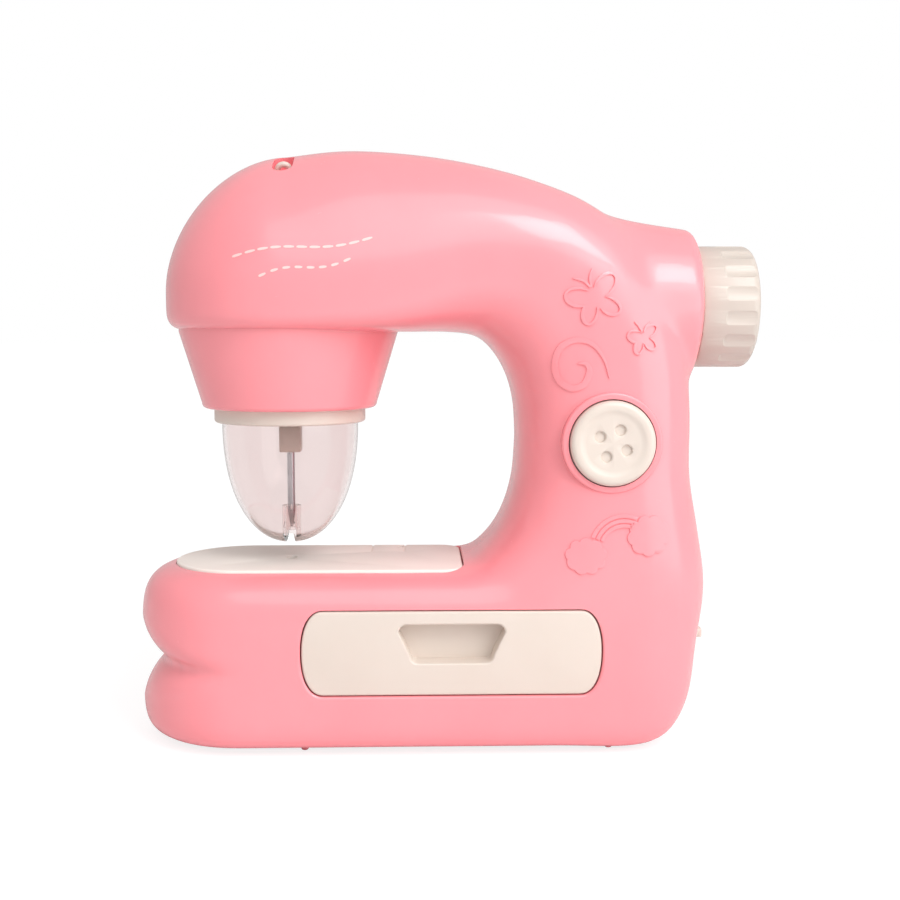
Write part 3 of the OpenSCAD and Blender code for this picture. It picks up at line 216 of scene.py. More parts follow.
@dataclass(frozen=True)
class MouldedPlastic(Finish):
    """Satin moulded plastic: faint colour drift, fine spark grain, handled gloss."""

    deep: Point
    roughness: float = 0.34
    coat: float = 0.12
    grain: float = 0.02
    milk: float = 0.0

    def mix(self, pot: Pot) -> Sockets:
        """Drifting colour, specks and handling in the gloss, and grain."""
        where = pot.place()
        drift = pot.noise(where, 22.0, 3.0)
        flow = pot.noise(pot.place((1.0, 1.0, 0.35)), 70.0, 4.0, 0.6)
        spark = pot.noise(where, 2600.0)
        handled = pot.noise(where, 45.0, 5.0, 0.65)
        share = (drift * 0.7 + flow * 0.3).between(0.3, 0.7)
        specks = pot.noise(where, 900.0, 1.0).between(0.70, 0.78)
        rough = (handled - 0.5) * 0.05 + spark * 0.03 + self.roughness - 0.015 + specks * 0.03
        return {"Base Color": pot.blend(share, linear(self.colour), linear(self.deep)),
                "Roughness": rough, "IOR": 1.5,
                "Coat Weight": (1.25 - handled * 0.5) * self.coat, "Coat Roughness": 0.09,
                "Subsurface Weight": self.milk, "Subsurface Scale": 0.0015,
                "Subsurface Radius": (1.0, 0.5, 0.4),
                "Normal": pot.bump(spark * 0.5 + flow * 0.5, self.grain, 0.4)}


@dataclass(frozen=True)
class ClearPlastic(Finish):
    """Water-clear moulded plastic with faint flow marks and a slight warm tint."""

    haze: float = 0.05
    lift: float = 3.0

    def mix(self, pot: Pot) -> Sockets:
        """Clear body with flow marks in its tint and surface."""
        flow = pot.noise(pot.place((1.0, 1.0, 0.25)), 60.0, 3.0, 0.6)
        pale = linear([min(255.0, c + self.lift) for c in self.colour])
        return {"Base Color": pot.blend(flow.between(0.3, 0.7), linear(self.colour), pale),
                "Roughness": pot.noise(pot.place(), 160.0, 4.0) * 0.05 + self.haze,
                "IOR": 1.3, "Transmission Weight": 1.0, "Normal": pot.bump(flow, 0.03, 0.4)}


@dataclass(frozen=True)
class TurnedMetal(Finish):
    """Drawn or turned metal with fine tool marks along one way."""

    stretch: Point
    roughness: float = 0.26
    dull: float = 0.82

    def mix(self, pot: Pot) -> Sockets:
        """Bright metal with dull stains and tool marks."""
        marks = pot.noise(pot.place(self.stretch), 900.0, 3.0, 0.6)
        stain = pot.noise(pot.place(), 120.0, 4.0, 0.6)
        share = (stain * 0.6 + marks * 0.4).between(0.35, 0.75)
        return {"Base Color": pot.blend(share, linear(self.colour), linear(self.colour, self.dull)),
                "Metallic": 1.0, "Roughness": marks * 0.16 + self.roughness - 0.05,
                "Normal": pot.bump(marks, 0.02, 0.5)}


@dataclass(frozen=True)
class PrintedBoard(Finish):
    """Lacquered circuit board with copper tracks under the green."""

    track: Point
    shade: float = 0.8

    def mix(self, pot: Pot) -> Sockets:
        """Woven green board with paler, raised tracks."""
        cells = pot.node("ShaderNodeTexVoronoi", {"distance": "MANHATTAN", "feature": "F1"},
                         {"Vector": pot.place((1.0, 0.2, 1.0)), "Scale": 320.0}, "Distance")
        weave = pot.noise(pot.place((1.0, 1.0, 6.0)), 700.0)
        track = cells.between(0.42, 0.46) * (1.0 - cells.between(0.56, 0.60))
        green = pot.blend(weave, linear(self.colour), linear(self.colour, self.shade))
        return {"Base Color": pot.blend(track, green, linear(self.track)),
                "Roughness": 0.42 - track * 0.12 + weave * 0.06,
                "Normal": pot.bump(track + weave * 0.1, 0.04)}


@dataclass(frozen=True)
class WrappedCell(Finish):
    """Plain two-tone shrink sleeve round a dry cell."""

    band: Point
    band_x: Flat = (0.0148, 0.0152)

    def mix(self, pot: Pot) -> Sockets:
        """Sleeve with a metallic band at one end."""
        across = pot.node("ShaderNodeSeparateXYZ", {}, {0: pot.place()})
        grain = pot.noise(pot.place(), 500.0, 3.0)
        part = (across + grain * 0.0004).between(*self.band_x)
        return {"Base Color": pot.blend(part, linear(self.colour), linear(self.band)),
                "Metallic": part * 0.6, "Roughness": grain * 0.1 + 0.28,
                "Normal": pot.bump(grain, 0.02)}


SATIN = (0.36, 0.10, 0.008, 0.05)
MATT = (0.60, 0.0, 0.008, 0.05)
DRY = (0.45, 0.05)

FINISHES: Dict[str, Finish] = {
    "pink_body": MouldedPlastic(
        "pink_gloss", (255, 155, 163), (254, 150, 158), 0.24, 0.40, 0.004, 0.05),
    "ivory_plastic": MouldedPlastic("ivory_satin", (225, 213, 203), (221, 208, 197), *SATIN),
    # bed plate: the ivory lightened past the drawer's own, painted light that makes up for the
    # shade under the head
    "bed_plate": MouldedPlastic("ivory_matt_painted_light", (249, 241, 234), (246, 237, 229), *MATT),
    # handwheel: the ivory darkened below the drawer's own, painted shade that tones down the strong
    # light from the right
    "knob": MouldedPlastic("ivory_knob_painted_shade", (210, 199, 190), (206, 194, 184), *SATIN),
    "clear_plastic": ClearPlastic("clear_dome", (242, 233, 232)),
    "clamp_plastic": MouldedPlastic("clamp_grey", (206, 190, 180), (196, 178, 168), 0.40),
    "white_plastic": MouldedPlastic("gear_white", (240, 238, 232), (234, 231, 224), *DRY),
    "stitch_print": MouldedPlastic("print_white", (248, 212, 210), (246, 206, 204), *DRY),
    "bright_steel": TurnedMetal("needle_steel", (196, 198, 202), (1.0, 1.0, 0.05)),
    "bush_brass": TurnedMetal("bush_brass", (214, 176, 104), (0.05, 1.0, 1.0), 0.3),
    "board_green": PrintedBoard("board_lacquer", (34, 104, 58), (86, 150, 84)),
    "black_plastic": MouldedPlastic("black_moulding", (44, 43, 46), (36, 35, 38), 0.45),
    "cell_wrap": WrappedCell("cell_sleeve", (52, 56, 64), (196, 142, 74)),
    "lamp_plastic": MouldedPlastic(
        "lamp_lens", (255, 246, 222), (252, 238, 206), 0.2, 0.3, 0.01, 0.3),
}


def power(value: float, n: float) -> float:
    """Signed power of a superellipse."""
    return math.copysign(abs(value) ** (2.0 / n), value)


def arc(centre: Flat, radius: float, start: float, end: float, steps: int) -> List[Flat]:
    """Points of an arc, angles in degrees."""
    turn = [math.radians(start + (end - start) * k / steps) for k in range(steps + 1)]
    return [(centre[0] + radius * math.cos(a), centre[1] + radius * math.sin(a)) for a in turn]


def stadium(centre: Flat, radius: float, half: Flat, start: float, steps: int) -> List[Flat]:
    """Outline of a slot whose first round end is half away from its centre, from an angle on."""
    (u, v), middle = half, start + 180
    return ([(x + u, y + v) for x, y in arc(centre, radius, start, middle, steps)]
            + [(x - u, y - v) for x, y in arc(centre, radius, middle, middle + 180, steps)])


def spline(a: Any, b: Any, c: Any, d: Any, t: float) -> Any:
    """A point between b and c, at a share of the way, on a smooth line through all four."""
    return 0.5 * (2 * b + (c - a) * t + (2 * a - 5 * b + 4 * c - d) * t * t
                  + (3 * b - a - 3 * c + d) * t ** 3)


class Workshop:
    """Modelling by operators, sizes in millimetres; every sub-assembly is built in one."""

    dyes: Dict[str, bpy.types.Material] = {}

    @staticmethod
    def bare() -> None:
        """Leaves edit mode and deselects everything."""
        if bpy.context.object and bpy.context.object.mode != "OBJECT":
            bpy.ops.object.mode_set(mode="OBJECT")
        bpy.ops.object.select_all(action="DESELECT")

    @staticmethod
    def focus(piece: Thing) -> None:
        """Selects one piece alone and makes it active."""
        Workshop.bare()
        piece.select_set(True)
        bpy.context.view_layer.objects.active = piece

    @staticmethod
    def edit(piece: Thing) -> None:
        """Opens a piece in edit mode with all of it selected."""
        Workshop.focus(piece)
        bpy.ops.object.mode_set(mode="EDIT")
        bpy.ops.mesh.select_all(action="SELECT")

    @staticmethod
    def named(name: str) -> Thing:
        """Names the active object and moves its place into its mesh.

        Args:
            name: name of the piece.

        Returns:
            The piece.
        """
        piece = bpy.context.object
        piece.name = piece.data.name = name
        bpy.ops.object.transform_apply(location=True, rotation=True, scale=True)
        return piece

    @staticmethod
    def drop(piece: Thing) -> None:
        """Removes a piece that is no longer needed."""
        bpy.data.objects.remove(piece, do_unlink=True)

    @staticmethod
    def line(name: str, points: Sequence[Point]) -> Thing:
        """Draws a line of vertices by extruding one vertex from point to point.

        Args:
            name: name of the piece.
            points: places along the line.

        Returns:
            The piece, left in edit mode with all of it selected.
        """
        Workshop.bare()
        bpy.ops.mesh.primitive_plane_add(size=MM, location=(0.0, 0.0, 0.0))
        piece = Workshop.named(name)
        Workshop.edit(piece)
        bpy.ops.mesh.merge(type="CENTER")
        places = [Vector(p) * MM for p in points]
        bpy.ops.transform.translate(value=places[0])
        for a, b in zip(places, places[1:]):
            bpy.ops.mesh.extrude_vertices_move(TRANSFORM_OT_translate={"value": b - a})
        bpy.ops.mesh.select_all(action="SELECT")
        return piece

    @staticmethod
    def weld(piece: Thing) -> Thing:
        """Merges doubles, drops slivers and turns the faces outwards.

        Args:
            piece: the piece.

        Returns:
            The piece.
        """
        Workshop.edit(piece)
        bpy.ops.mesh.remove_doubles(threshold=TINY)
        bpy.ops.mesh.dissolve_degenerate(threshold=TINY)
        bpy.ops.mesh.select_all(action="SELECT")
        bpy.ops.mesh.normals_make_consistent(inside=False)
        bpy.ops.object.mode_set(mode="OBJECT")
        return piece

    @staticmethod
    def lathe(name: str, profile: Sequence[Flat], axis: Axis, place: Point,
              steps: int = 96) -> Thing:
        """Spins a profile about an axis.

        Args:
            name: name of the piece.
            profile: pairs of radius and height, closed if it does not start and end on the axis.
            axis: the axis.
            place: where the axis passes and heights start.
            steps: steps of the spin.

        Returns:
            The closed piece.
        """
        x, y, z = place
        if axis is Axis.X:
            points = [(x + h, y, z + r) for r, h in profile]
        elif axis is Axis.Y:
            points = [(x + r, y + h, z) for r, h in profile]
        else:
            points = [(x + r, y, z + h) for r, h in profile]
        on_axis = profile[0][0] == profile[-1][0] == 0.0
        piece = Workshop.line(name, points if on_axis else points + [points[0]])
        bpy.ops.mesh.spin(steps=steps, angle=math.tau, center=Vector(place) * MM, axis=axis.value)
        return Workshop.weld(piece)

    @staticmethod
    def prism(name: str, outline: Sequence[Point], way: Point,
              flare: Sequence[Tuple[Point, Point, Point]] = ()) -> Thing:
        """Fills a closed outline and extrudes it.

        Args:
            name: name of the piece.
            outline: places, all in one plane.
            way: first extrusion.
            flare: further extrusions as (way, scale, centre).

        Returns:
            The closed piece.
        """
        piece = Workshop.line(name, outline)
        bpy.ops.mesh.edge_face_add()
        bpy.ops.mesh.extrude_region_move(TRANSFORM_OT_translate={"value": Vector(way) * MM})
        for step, scale, centre in flare:
            bpy.ops.mesh.extrude_region_move(TRANSFORM_OT_translate={"value": Vector(step) * MM})
            bpy.ops.transform.resize(value=scale, center_override=Vector(centre) * MM)
        return Workshop.weld(piece)

    @staticmethod
    def block(name: str, low: Point, high: Point) -> Thing:
        """A block between two corners.

        Args:
            name: name of the piece.
            low: its least corner.
            high: its greatest corner.

        Returns:
            The block, its place in its mesh.
        """
        Workshop.bare()
        a, b = Vector(low) * MM, Vector(high) * MM
        bpy.ops.mesh.primitive_cube_add(size=1.0, location=(a + b) / 2)
        bpy.context.object.scale = b - a
        return Workshop.named(name)

    @staticmethod
    def rod(name: str, start: Point, end: Point, radius: float, sides: int = 32) -> Thing:
        """A round rod between two points.

        Args:
            name: name of the piece.
            start: middle of its first end.
            end: middle of its other end.
            radius: its radius.
            sides: number of its sides.

        Returns:
            The rod, its place in its mesh.
        """
        Workshop.bare()
        a, b = Vector(start) * MM, Vector(end) * MM
        turn = Vector((0.0, 0.0, 1.0)).rotation_difference((b - a).normalized())
        bpy.ops.mesh.primitive_cylinder_add(
            vertices=sides, radius=radius * MM, depth=(b - a).length, location=(a + b) / 2,
            rotation=turn.to_euler())
        return Workshop.named(name)

    @staticmethod
    def modify(piece: Thing, kind: str, **settings: Any) -> None:
        """Adds a modifier and applies it.

        Args:
            piece: the piece.
            kind: the modifier's type.
            **settings: its settings.
        """
        Workshop.focus(piece)
        modifier = piece.modifiers.new(kind.lower(), kind)
        for key, value in settings.items():
            setattr(modifier, key, value)
        bpy.ops.object.modifier_apply(modifier=modifier.name)

    @staticmethod
    def join(piece: Thing, way: Join, *tools: Thing, spare: bool = False) -> Thing:
        """Puts solids together, one tool after the other.

        Args:
            piece: the piece that is changed.
            way: how it is put together with each tool.
            *tools: the tools.
            spare: whether the tools are left in being.

        Returns:
            The piece.
        """
        for tool in tools:
            Workshop.modify(piece, "BOOLEAN", operation=way.value, object=tool, solver="MANIFOLD")
            if not spare:
                Workshop.drop(tool)
        return piece

    @staticmethod
    def soften(piece: Thing, width: float, segments: int = 3, angle: float = 35.0) -> None:
        """Rounds the edges that are sharper than an angle."""
        Workshop.modify(piece, "BEVEL", width=width * MM, segments=segments, limit_method="ANGLE",
                        angle_limit=math.radians(angle), miter_outer="MITER_ARC",
                        use_clamp_overlap=True)

    @staticmethod
    def copy(piece: Thing, name: str) -> Thing:
        """Copies a piece.

        Args:
            piece: the piece.
            name: name of the copy.

        Returns:
            The copy, with a mesh of its own.
        """
        twin = piece.copy()
        twin.data = piece.data.copy()
        twin.name = twin.data.name = name
        bpy.context.collection.objects.link(twin)
        return twin

    @staticmethod
    def gather(name: str, pieces: Sequence[Thing]) -> Thing:
        """Joins several pieces into one.

        Args:
            name: name of the whole.
            pieces: the pieces.

        Returns:
            The whole.
        """
        Workshop.focus(pieces[0])
        for piece in pieces:
            piece.select_set(True)
        if len(pieces) > 1:
            bpy.ops.object.join()
        pieces[0].name = pieces[0].data.name = name
        return pieces[0]

    @staticmethod
    def sift(piece: Thing, least: float) -> Thing:
        """Drops the loose bits of a piece that are too small to show.

        Args:
            piece: the piece.
            least: least length of a bit that is kept.

        Returns:
            What is kept, as one piece.
        """
        name = piece.name
        Workshop.edit(piece)
        bpy.ops.mesh.separate(type="LOOSE")
        bpy.ops.object.mode_set(mode="OBJECT")
        kept = []
        for bit in list(bpy.context.selected_objects):
            if max(bit.dimensions) < least * MM:
                Workshop.drop(bit)
            else:
                kept.append(bit)
        return Workshop.gather(name, kept)

    @staticmethod
    def dye(finish: str) -> bpy.types.Material:
        """The material of a finish, made once."""
        if finish not in Workshop.dyes:
            Workshop.dyes[finish] = FINISHES[finish].make()
        return Workshop.dyes[finish]

    @staticmethod
    def dress(piece: Thing, slot: str, body: str, nodes: Sequence[str] = (),
              angle: float = 32.0, finish: str = "") -> None:
        """Shades a finished piece, gives it its finish and sets it on its body.

        Args:
            piece: the piece.
            slot: the finish's slot.
            body: the body it rides on.
            nodes: the nodes it stands for.
            angle: edges flatter than this are shaded smooth.
            finish: its finish, where that is not the slot's own.
        """
        Workshop.focus(piece)
        bpy.ops.object.shade_smooth_by_angle(angle=math.radians(angle))
        piece.data.materials.clear()
        piece.data.materials.append(Workshop.dye(finish or slot))
        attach(piece, body)
        if nodes:
            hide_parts(*nodes)
        LOG.info("%s: %d faces on %s", piece.name, len(piece.data.polygons), body)


@dataclass(frozen=True)
class Overall:
    """Sizes and places in millimetres that several sub-assemblies share."""

    length: float = 231.0
    height: float = 220.0
    foot_h: float = 1.2
    base_h: float = 66.5
    arm_z: float = 153.0
    head_top: float = 217.6
    shaft_z: float = 162.5
    button_z: float = 113.8
    button_in: float = 1.4
    cup_seat: float = 2.7
    needle_in: float = 57.0
    peak_in: float = 22.0
    column_w: float = 66.0
    base_swell: float = 5.6
    base_d: float = 40.0
    wheel_l: float = 21.5
    wheel_out: float = 16.65
    show_gap: float = 0.45
    guide_drop: float = 3.6
    guide_y: float = -14.0
    guide_tilt: float = 24.0
    guide_depth: float = 5.0
    bed_end_x: float = -length / 2
    needle_x: float = bed_end_x + needle_in
    back_x: float = length / 2 - wheel_out
    throat_x: float = back_x - base_swell - column_w
    column_x: float = throat_x + column_w / 2
    button_x: float = column_x - button_in
    wheel_x: float = length / 2 - wheel_l

    def guide(self, point: Point) -> Point:
        """A place given from the thread guide's slot, which lies on the slope of the head."""
        x, y, z = Matrix.Rotation(math.radians(self.guide_tilt), 3, "X") @ Vector(point)
        return (self.needle_x + x, self.guide_y + y, self.head_top - self.guide_drop + z)


TOY = Overall()


@dataclass
class BodyForm(Workshop):
    """The lofted C of the body: superellipse sections between an outer and an inner outline."""

    peak_x: float = TOY.needle_x + TOY.peak_in
    span: float = TOY.back_x - TOY.needle_x - TOY.peak_in
    rise: float = TOY.height - TOY.foot_h
    base_turn_x: float = TOY.bed_end_x + TOY.base_d
    throat_top: Flat = (21.75, 35.0)
    throat_low: Flat = (25.75, 43.0)
    arm_at: Tuple[float, ...] = (.33, .70, .92)
    top_at: Tuple[float, ...] = (.18, .40, .62, .82, 1.0)
    low_at: Tuple[float, ...] = (1.0, .80, .58, .36, .14)
    bed_at: Tuple[float, ...] = (.18, .42, .64, .84)
    head_wall: float = 15.0
    head_round: Flat = (1.8, 9.0)
    base_round: Flat = (8.0, 5.0)
    depths: Tuple[float, ...] = (45.5, 40.0, 37.0, TOY.base_d)
    outer: Tuple[Flat, ...] = (
        (0, 1), (.190, .9935), (.362, .976), (.528, .9475), (.686, .904), (.834, .824),
        (.925, .698), (.948, .568), (.95, .455), (.974, .364), (.995, .264), (.972, .164),
        (.938, .060), (.836, 0), (.58, 0), (.29, 0), (0, 0))
    depth_at: Tuple[float, ...] = (
        .12, .55, 1, 1.45, 1.8, 2, 2, 2, 2.06, 2.25, 2.55, 2.85, 3, 3, 3, 3, 3)
    round_out: Tuple[float, ...] = (
        1.9, 2, 2.2, 2.4, 2.6, 2.8, 3, 3, 3, 3, 3.2, 3.6, 4.6, 6.4, 8, 8, 8)
    round_in: Tuple[float, ...] = (
        7.5, 5, 3.6, 3, 2.8, 2.7, 2.7, 2.7, 2.7, 2.8, 3, 3.4, 4.2, 5, 5, 5, 5)
    waist: Tuple[float, ...] = (.24, .30, .37, .43, .48) + (.5,) * 12
    samples: int = 721

    def inner(self) -> List[Flat]:
        """Inner outline, from under the head round the throat to the bed.

        Returns:
            One point for each point of the outer outline.
        """
        arm_l = TOY.throat_x - self.throat_top[0] - TOY.needle_x
        bed_x = TOY.throat_x - self.throat_low[0]
        points = [(TOY.needle_x + arm_l * s, TOY.arm_z) for s in self.arm_at]
        for shares, (w, h), z in ((self.top_at, self.throat_top, TOY.arm_z),
                                  (self.low_at, self.throat_low, TOY.base_h)):
            side = -1 if z == TOY.arm_z else 1
            for s in shares:
                a = math.radians(90 * s)
                points.append((TOY.throat_x - w * (1 - math.sin(a)),
                               z + side * h * (1 - math.cos(a))))
        return points + [(bed_x - (bed_x - self.base_turn_x) * s, TOY.base_h) for s in self.bed_at]

    def stations(self) -> np.ndarray:
        """Sections that the loft passes through.

        Returns:
            Rows of outer and inner place, depth, waist and two roundnesses.
        """
        rows = [[TOY.needle_x, TOY.head_top, TOY.needle_x, TOY.arm_z, self.depths[0],
                 self.head_wall / (TOY.head_top - TOY.arm_z), *self.head_round]]
        for i, (inner, outer) in enumerate(zip(self.inner(), self.outer)):
            rows.append([self.peak_x + self.span * outer[0], TOY.foot_h + self.rise * outer[1],
                         *inner, float(np.interp(self.depth_at[i], range(4), self.depths)),
                         self.waist[i], self.round_out[i], self.round_in[i]])
        rows.append([self.base_turn_x, TOY.foot_h, self.base_turn_x, TOY.base_h,
                     self.depths[3], .5, *self.base_round])
        return np.array(rows)

    def rings(self, steps: int, turns: int) -> List[Tuple[np.ndarray, float]]:
        """Sections along the whole C.

        Args:
            steps: sections between two stations.
            turns: sections round the head and round the bed end.

        Returns:
            The sections, each with its turn about the head or the bed end.
        """
        rows = self.stations()
        last = len(rows) - 1
        rings = [(rows[0], math.pi / 2 * k / turns) for k in range(turns, 0, -1)]
        for i in range(last):
            near = [rows[j] for j in (max(i - 1, 0), i, i + 1, min(i + 2, last))]
            rings += [(spline(*near, k / steps), 0.0) for k in range(steps)]
        return rings + [(rows[-1], math.pi / 2 * k / turns) for k in range(turns + 1)]

    def section(self, ring: Tuple[np.ndarray, float], inset: float, count: int) -> np.ndarray:
        """One half section in front, its points spread evenly.

        Args:
            ring: the section's row and its turn.
            inset: depth below the outside.
            count: number of points from the outer to the inner edge.

        Returns:
            The points as rows of x, depth and z, with the depth still to be signed.
        """
        row, turn = ring
        o, i = row[0:2], row[2:4]
        way = (i - o) / np.linalg.norm(i - o)
        out, inn = o + way * inset, i - way * inset
        mid = inn + (out - inn) * row[5]
        t = np.linspace(0.0, math.pi, self.samples)
        n = np.where(np.cos(t) >= 0, row[6], row[7])
        along = np.sign(np.cos(t)) * np.abs(np.cos(t)) ** (2 / n)
        across = (row[4] - inset) * np.clip(np.sin(t), 0, None) ** (2 / n)
        across[-1] = 0.0
        span = np.where((along >= 0)[:, None], out - mid, mid - inn)
        path = mid + span * along[:, None]
        steps = np.hypot(np.hypot(*np.diff(path, axis=0).T), np.diff(across))
        length = np.concatenate([[0], np.cumsum(steps)])
        even = np.linspace(0, length[-1], count)
        x, z, y = (np.interp(even, length, v) for v in (path[:, 0], path[:, 1], across))
        return np.stack([x - y * math.sin(turn), y * math.cos(turn), z], 1)

    def solid(self, name: str, inset: float, steps: int, turns: int, count: int,
              levels: int = 0) -> Thing:
        """The closed form of the body, lofted as a mesh because no operator gives it.

        Args:
            name: name of the piece.
            inset: depth below the outside.
            steps: sections between two stations.
            turns: sections round the head and round the bed end.
            count: points of a half section.
            levels: levels of subdivision.

        Returns:
            The piece.
        """
        halves = [self.section(ring, inset, count) for ring in self.rings(steps, turns)]
        points = np.concatenate([p for h in halves for p in (h * [1, -1, 1], h[-2:0:-1])])
        around = 2 * count - 2
        corners = ((0, 0), (1, 0), (1, 1), (0, 1))
        faces = [tuple((k + i) * around + (j + m) % around for i, m in corners)
                 for k in range(len(halves) - 1) for j in range(around)]
        mesh = bpy.data.meshes.new(name)
        mesh.from_pydata((points * MM).tolist(), [], faces)
        piece = bpy.data.objects.new(name, mesh)
        bpy.context.collection.objects.link(piece)
        self.weld(piece)
        if levels:
            self.modify(piece, "SUBSURF", levels=levels, render_levels=levels)
        return piece


@dataclass
class BodyShells(Workshop):
    """The two pink halves with their openings."""

    form: BodyForm
    wall: float = 2.4
    seam: float = 0.12
    voxel: float = 1.25
    sharp: float = 16.0
    fade: float = 1.6
    boss_l: float = 41.5
    boss_r: float = 29.2
    boss_root: float = 5.3
    boss_flare: float = 4.0
    boss_edge: float = 4.4
    boss_zone: Point = (35.0, 92.0, 110.0)
    boss_soft: float = 14.0
    boss_x: float = TOY.wheel_x - TOY.show_gap - boss_l
    crease_z: float = 31.2
    crease_r: float = 40.0
    crease_depth: float = 9.6
    crease_zone: Flat = (-55.0, 58.0)
    crease_soft: float = 3.0
    crease_x: float = TOY.bed_end_x + crease_depth + crease_r
    lobe_r: float = 25.0
    cup_r: float = 41.3
    shaft_bore: float = 4.4
    slot_half: float = 4.3
    slot_r: float = 3.7
    button_bore: float = 15.65
    collar_r: float = 17.95
    collar_wall: float = 3.4
    collar_y: float = -38.2
    collar_h: float = 8.0
    collar_edges: Flat = (0.5, 0.9)
    drawer: Flat = (TOY.needle_x + 60.5, 38.75)
    drawer_half: Flat = (53.75, 15.25)
    drawer_end: float = 7.8
    drawer_round: float = 2.25
    drawer_seat: float = -36.3
    drawer_gap: float = 0.45
    channel: Flat = (47.65, 13.85)
    channel_back: float = 17.7
    channel_wall: float = 1.6
    channel_room: float = 1.9
    arm_mid: float = (TOY.arm_z + TOY.height) / 2
    post_r: float = 3.6
    way_r: float = 3.0
    way_y: float = 7.0
    sound_field: float = 13.4
    sound_pitch: float = 4.6
    sound_r: float = 1.2
    door_gap: float = 0.3
    door_tab: float = 8.0
    tab_half: float = 6.3
    foot_y: float = 28.0

    @property
    def screws(self) -> List[Flat]:
        """Places of the case screws."""
        return [(TOY.needle_x - 28.8, self.arm_mid - 3.2),
                (TOY.throat_x - 22.6, self.arm_mid + 0.5),
                (TOY.column_x + 7.9, TOY.shaft_z + 13.5), (TOY.column_x + 10.2, TOY.base_h + 6.2),
                (TOY.back_x - 16.0, TOY.foot_h + 19.8),
                (TOY.bed_end_x + TOY.base_d - 10.0, TOY.base_h - 28.0)]

    def boss(self, inset: float, steps: int, flare_steps: int = 16) -> Thing:
        """The flared boss behind the handwheel.

        Args:
            inset: depth below the outside.
            steps: steps of its spin.
            flare_steps: steps along its flare.

        Returns:
            The piece.
        """
        end, edge = self.boss_r - inset, self.boss_edge - min(inset, self.boss_edge / 2)
        length = self.boss_l - inset
        profile = [(0.0, 0.0)]
        for k in range(flare_steps):
            t = 1 - k / flare_steps
            profile.append((end + self.boss_root * t + self.boss_flare * t ** 4,
                            (length - edge) * (1 - t)))
        profile += arc((end - edge, length - edge), edge, 0.0, 90.0, 8) + [(0.0, length)]
        return self.lathe("boss", profile, Axis.X, (self.boss_x, 0.0, TOY.shaft_z), steps)

    def groove(self, grow: float, steps: int = 12) -> Thing:
        """The crease between the lobes of the bed end.

        Args:
            grow: growth all round.
            steps: steps along each lobe.

        Returns:
            The cutter.
        """
        turn = math.acos((self.lobe_r - self.crease_depth) / self.lobe_r)
        half = self.lobe_r * math.sin(turn)
        outside, tall = self.crease_r + self.crease_depth, half + grow
        upper = [(outside - grow - self.lobe_r * (1 - math.cos(turn * k / steps)),
                  tall - tall * math.sin(turn * k / steps) / math.sin(turn))
                 for k in range(steps + 1)]
        reach = outside + 4.0
        profile = upper + [(r, -h) for r, h in reversed(upper[:-1])]
        profile += [(reach, -tall), (reach, tall)]
        x, z, far = self.crease_x, self.crease_z, 90.0
        cutter = self.lathe("groove", profile, Axis.Z, (x, 0.0, z), 128)
        side = self.block("side", (x - far, -far, z - 50), (x - 0.05, far, z + 50))
        return self.join(cutter, Join.KEEP, side)

    def edges(self, mesh: bpy.types.Mesh) -> List[Tuple[Vector, float]]:
        """Finds the sharp edges at the boss's root and along the crease.

        Args:
            mesh: mesh of the exact outside.

        Returns:
            The middle of each edge, with the reach of the rounding there.
        """
        faces: Dict[Tuple[int, int], List[int]] = {}
        for face in mesh.polygons:
            for key in face.edge_keys:
                faces.setdefault(key, []).append(face.index)
        normals = [Vector(face.normal) for face in mesh.polygons]
        limit = math.cos(math.radians(self.sharp))
        low_x, high_x, low_z = (v * MM for v in self.boss_zone)
        crease_x, crease_z = (v * MM for v in self.crease_zone)
        found = []
        for (a, b), pair in faces.items():
            if len(pair) != 2 or normals[pair[0]].dot(normals[pair[1]]) > limit:
                continue
            spot = (mesh.vertices[a].co + mesh.vertices[b].co) / 2
            if low_x < spot.x < high_x and spot.z > low_z:
                found.append((spot, self.boss_soft))
            elif spot.x < crease_x and spot.z < crease_z:
                found.append((spot, self.crease_soft))
        return found

    def outside(self) -> Thing:
        """The whole outside, with the boss run softly into it and the crease rounded.

        Returns:
            The piece.
        """
        exact = self.form.solid("exact", 0.0, 4, 12, 40, 2)
        self.join(exact, Join.ADD, self.boss(0.0, 160))
        self.join(exact, Join.CUT, self.groove(0.0))
        piece = self.copy(exact, "outside")
        piece.data.remesh_voxel_size = self.voxel * MM
        piece.data.remesh_voxel_adaptivity = 0.0
        self.focus(piece)
        bpy.ops.object.voxel_remesh()
        edges = self.edges(exact.data)
        tree = KDTree(max(len(edges), 1))
        for k, (spot, _) in enumerate(edges):
            tree.insert(spot, k)
        tree.balance()
        near = piece.vertex_groups.new(name="near")
        for v in piece.data.vertices:
            spot, k, gap = tree.find(v.co)
            share = 1.0 - gap / (edges[k][1] * MM) if spot is not None else 0.0
            if share > 0.0:
                near.add([v.index], min(1.0, share * self.fade), "REPLACE")
        self.modify(piece, "SHRINKWRAP", target=exact, wrap_method="NEAREST_SURFACEPOINT",
                    vertex_group="near", invert_vertex_group=True)
        self.modify(piece, "SMOOTH", factor=0.5, iterations=45, vertex_group="near")
        self.modify(piece, "SMOOTH", factor=0.4, iterations=2)
        self.drop(exact)
        return piece

    def drawer_outline(self, grow: float, y: float, steps: int = 24) -> List[Point]:
        """The drawer front's outline in a plane across Y.

        Args:
            grow: growth all round.
            y: place of the plane.
            steps: steps round each end.

        Returns:
            The outline.
        """
        half_w, half_h = self.drawer_half[0] + grow, self.drawer_half[1] + grow
        end = self.drawer_end + grow
        side = []
        for k in range(steps + 1):
            a = math.radians(180 * k / steps - 90)
            out = math.cos(a) if 0 < k < steps else 0.0
            side.append((half_w - end + end * power(out, self.drawer_round),
                         half_h * power(math.sin(a), self.drawer_round)))
        return [(self.drawer[0] + u, y, self.drawer[1] + v)
                for u, v in side + [(-u, -v) for u, v in side]]

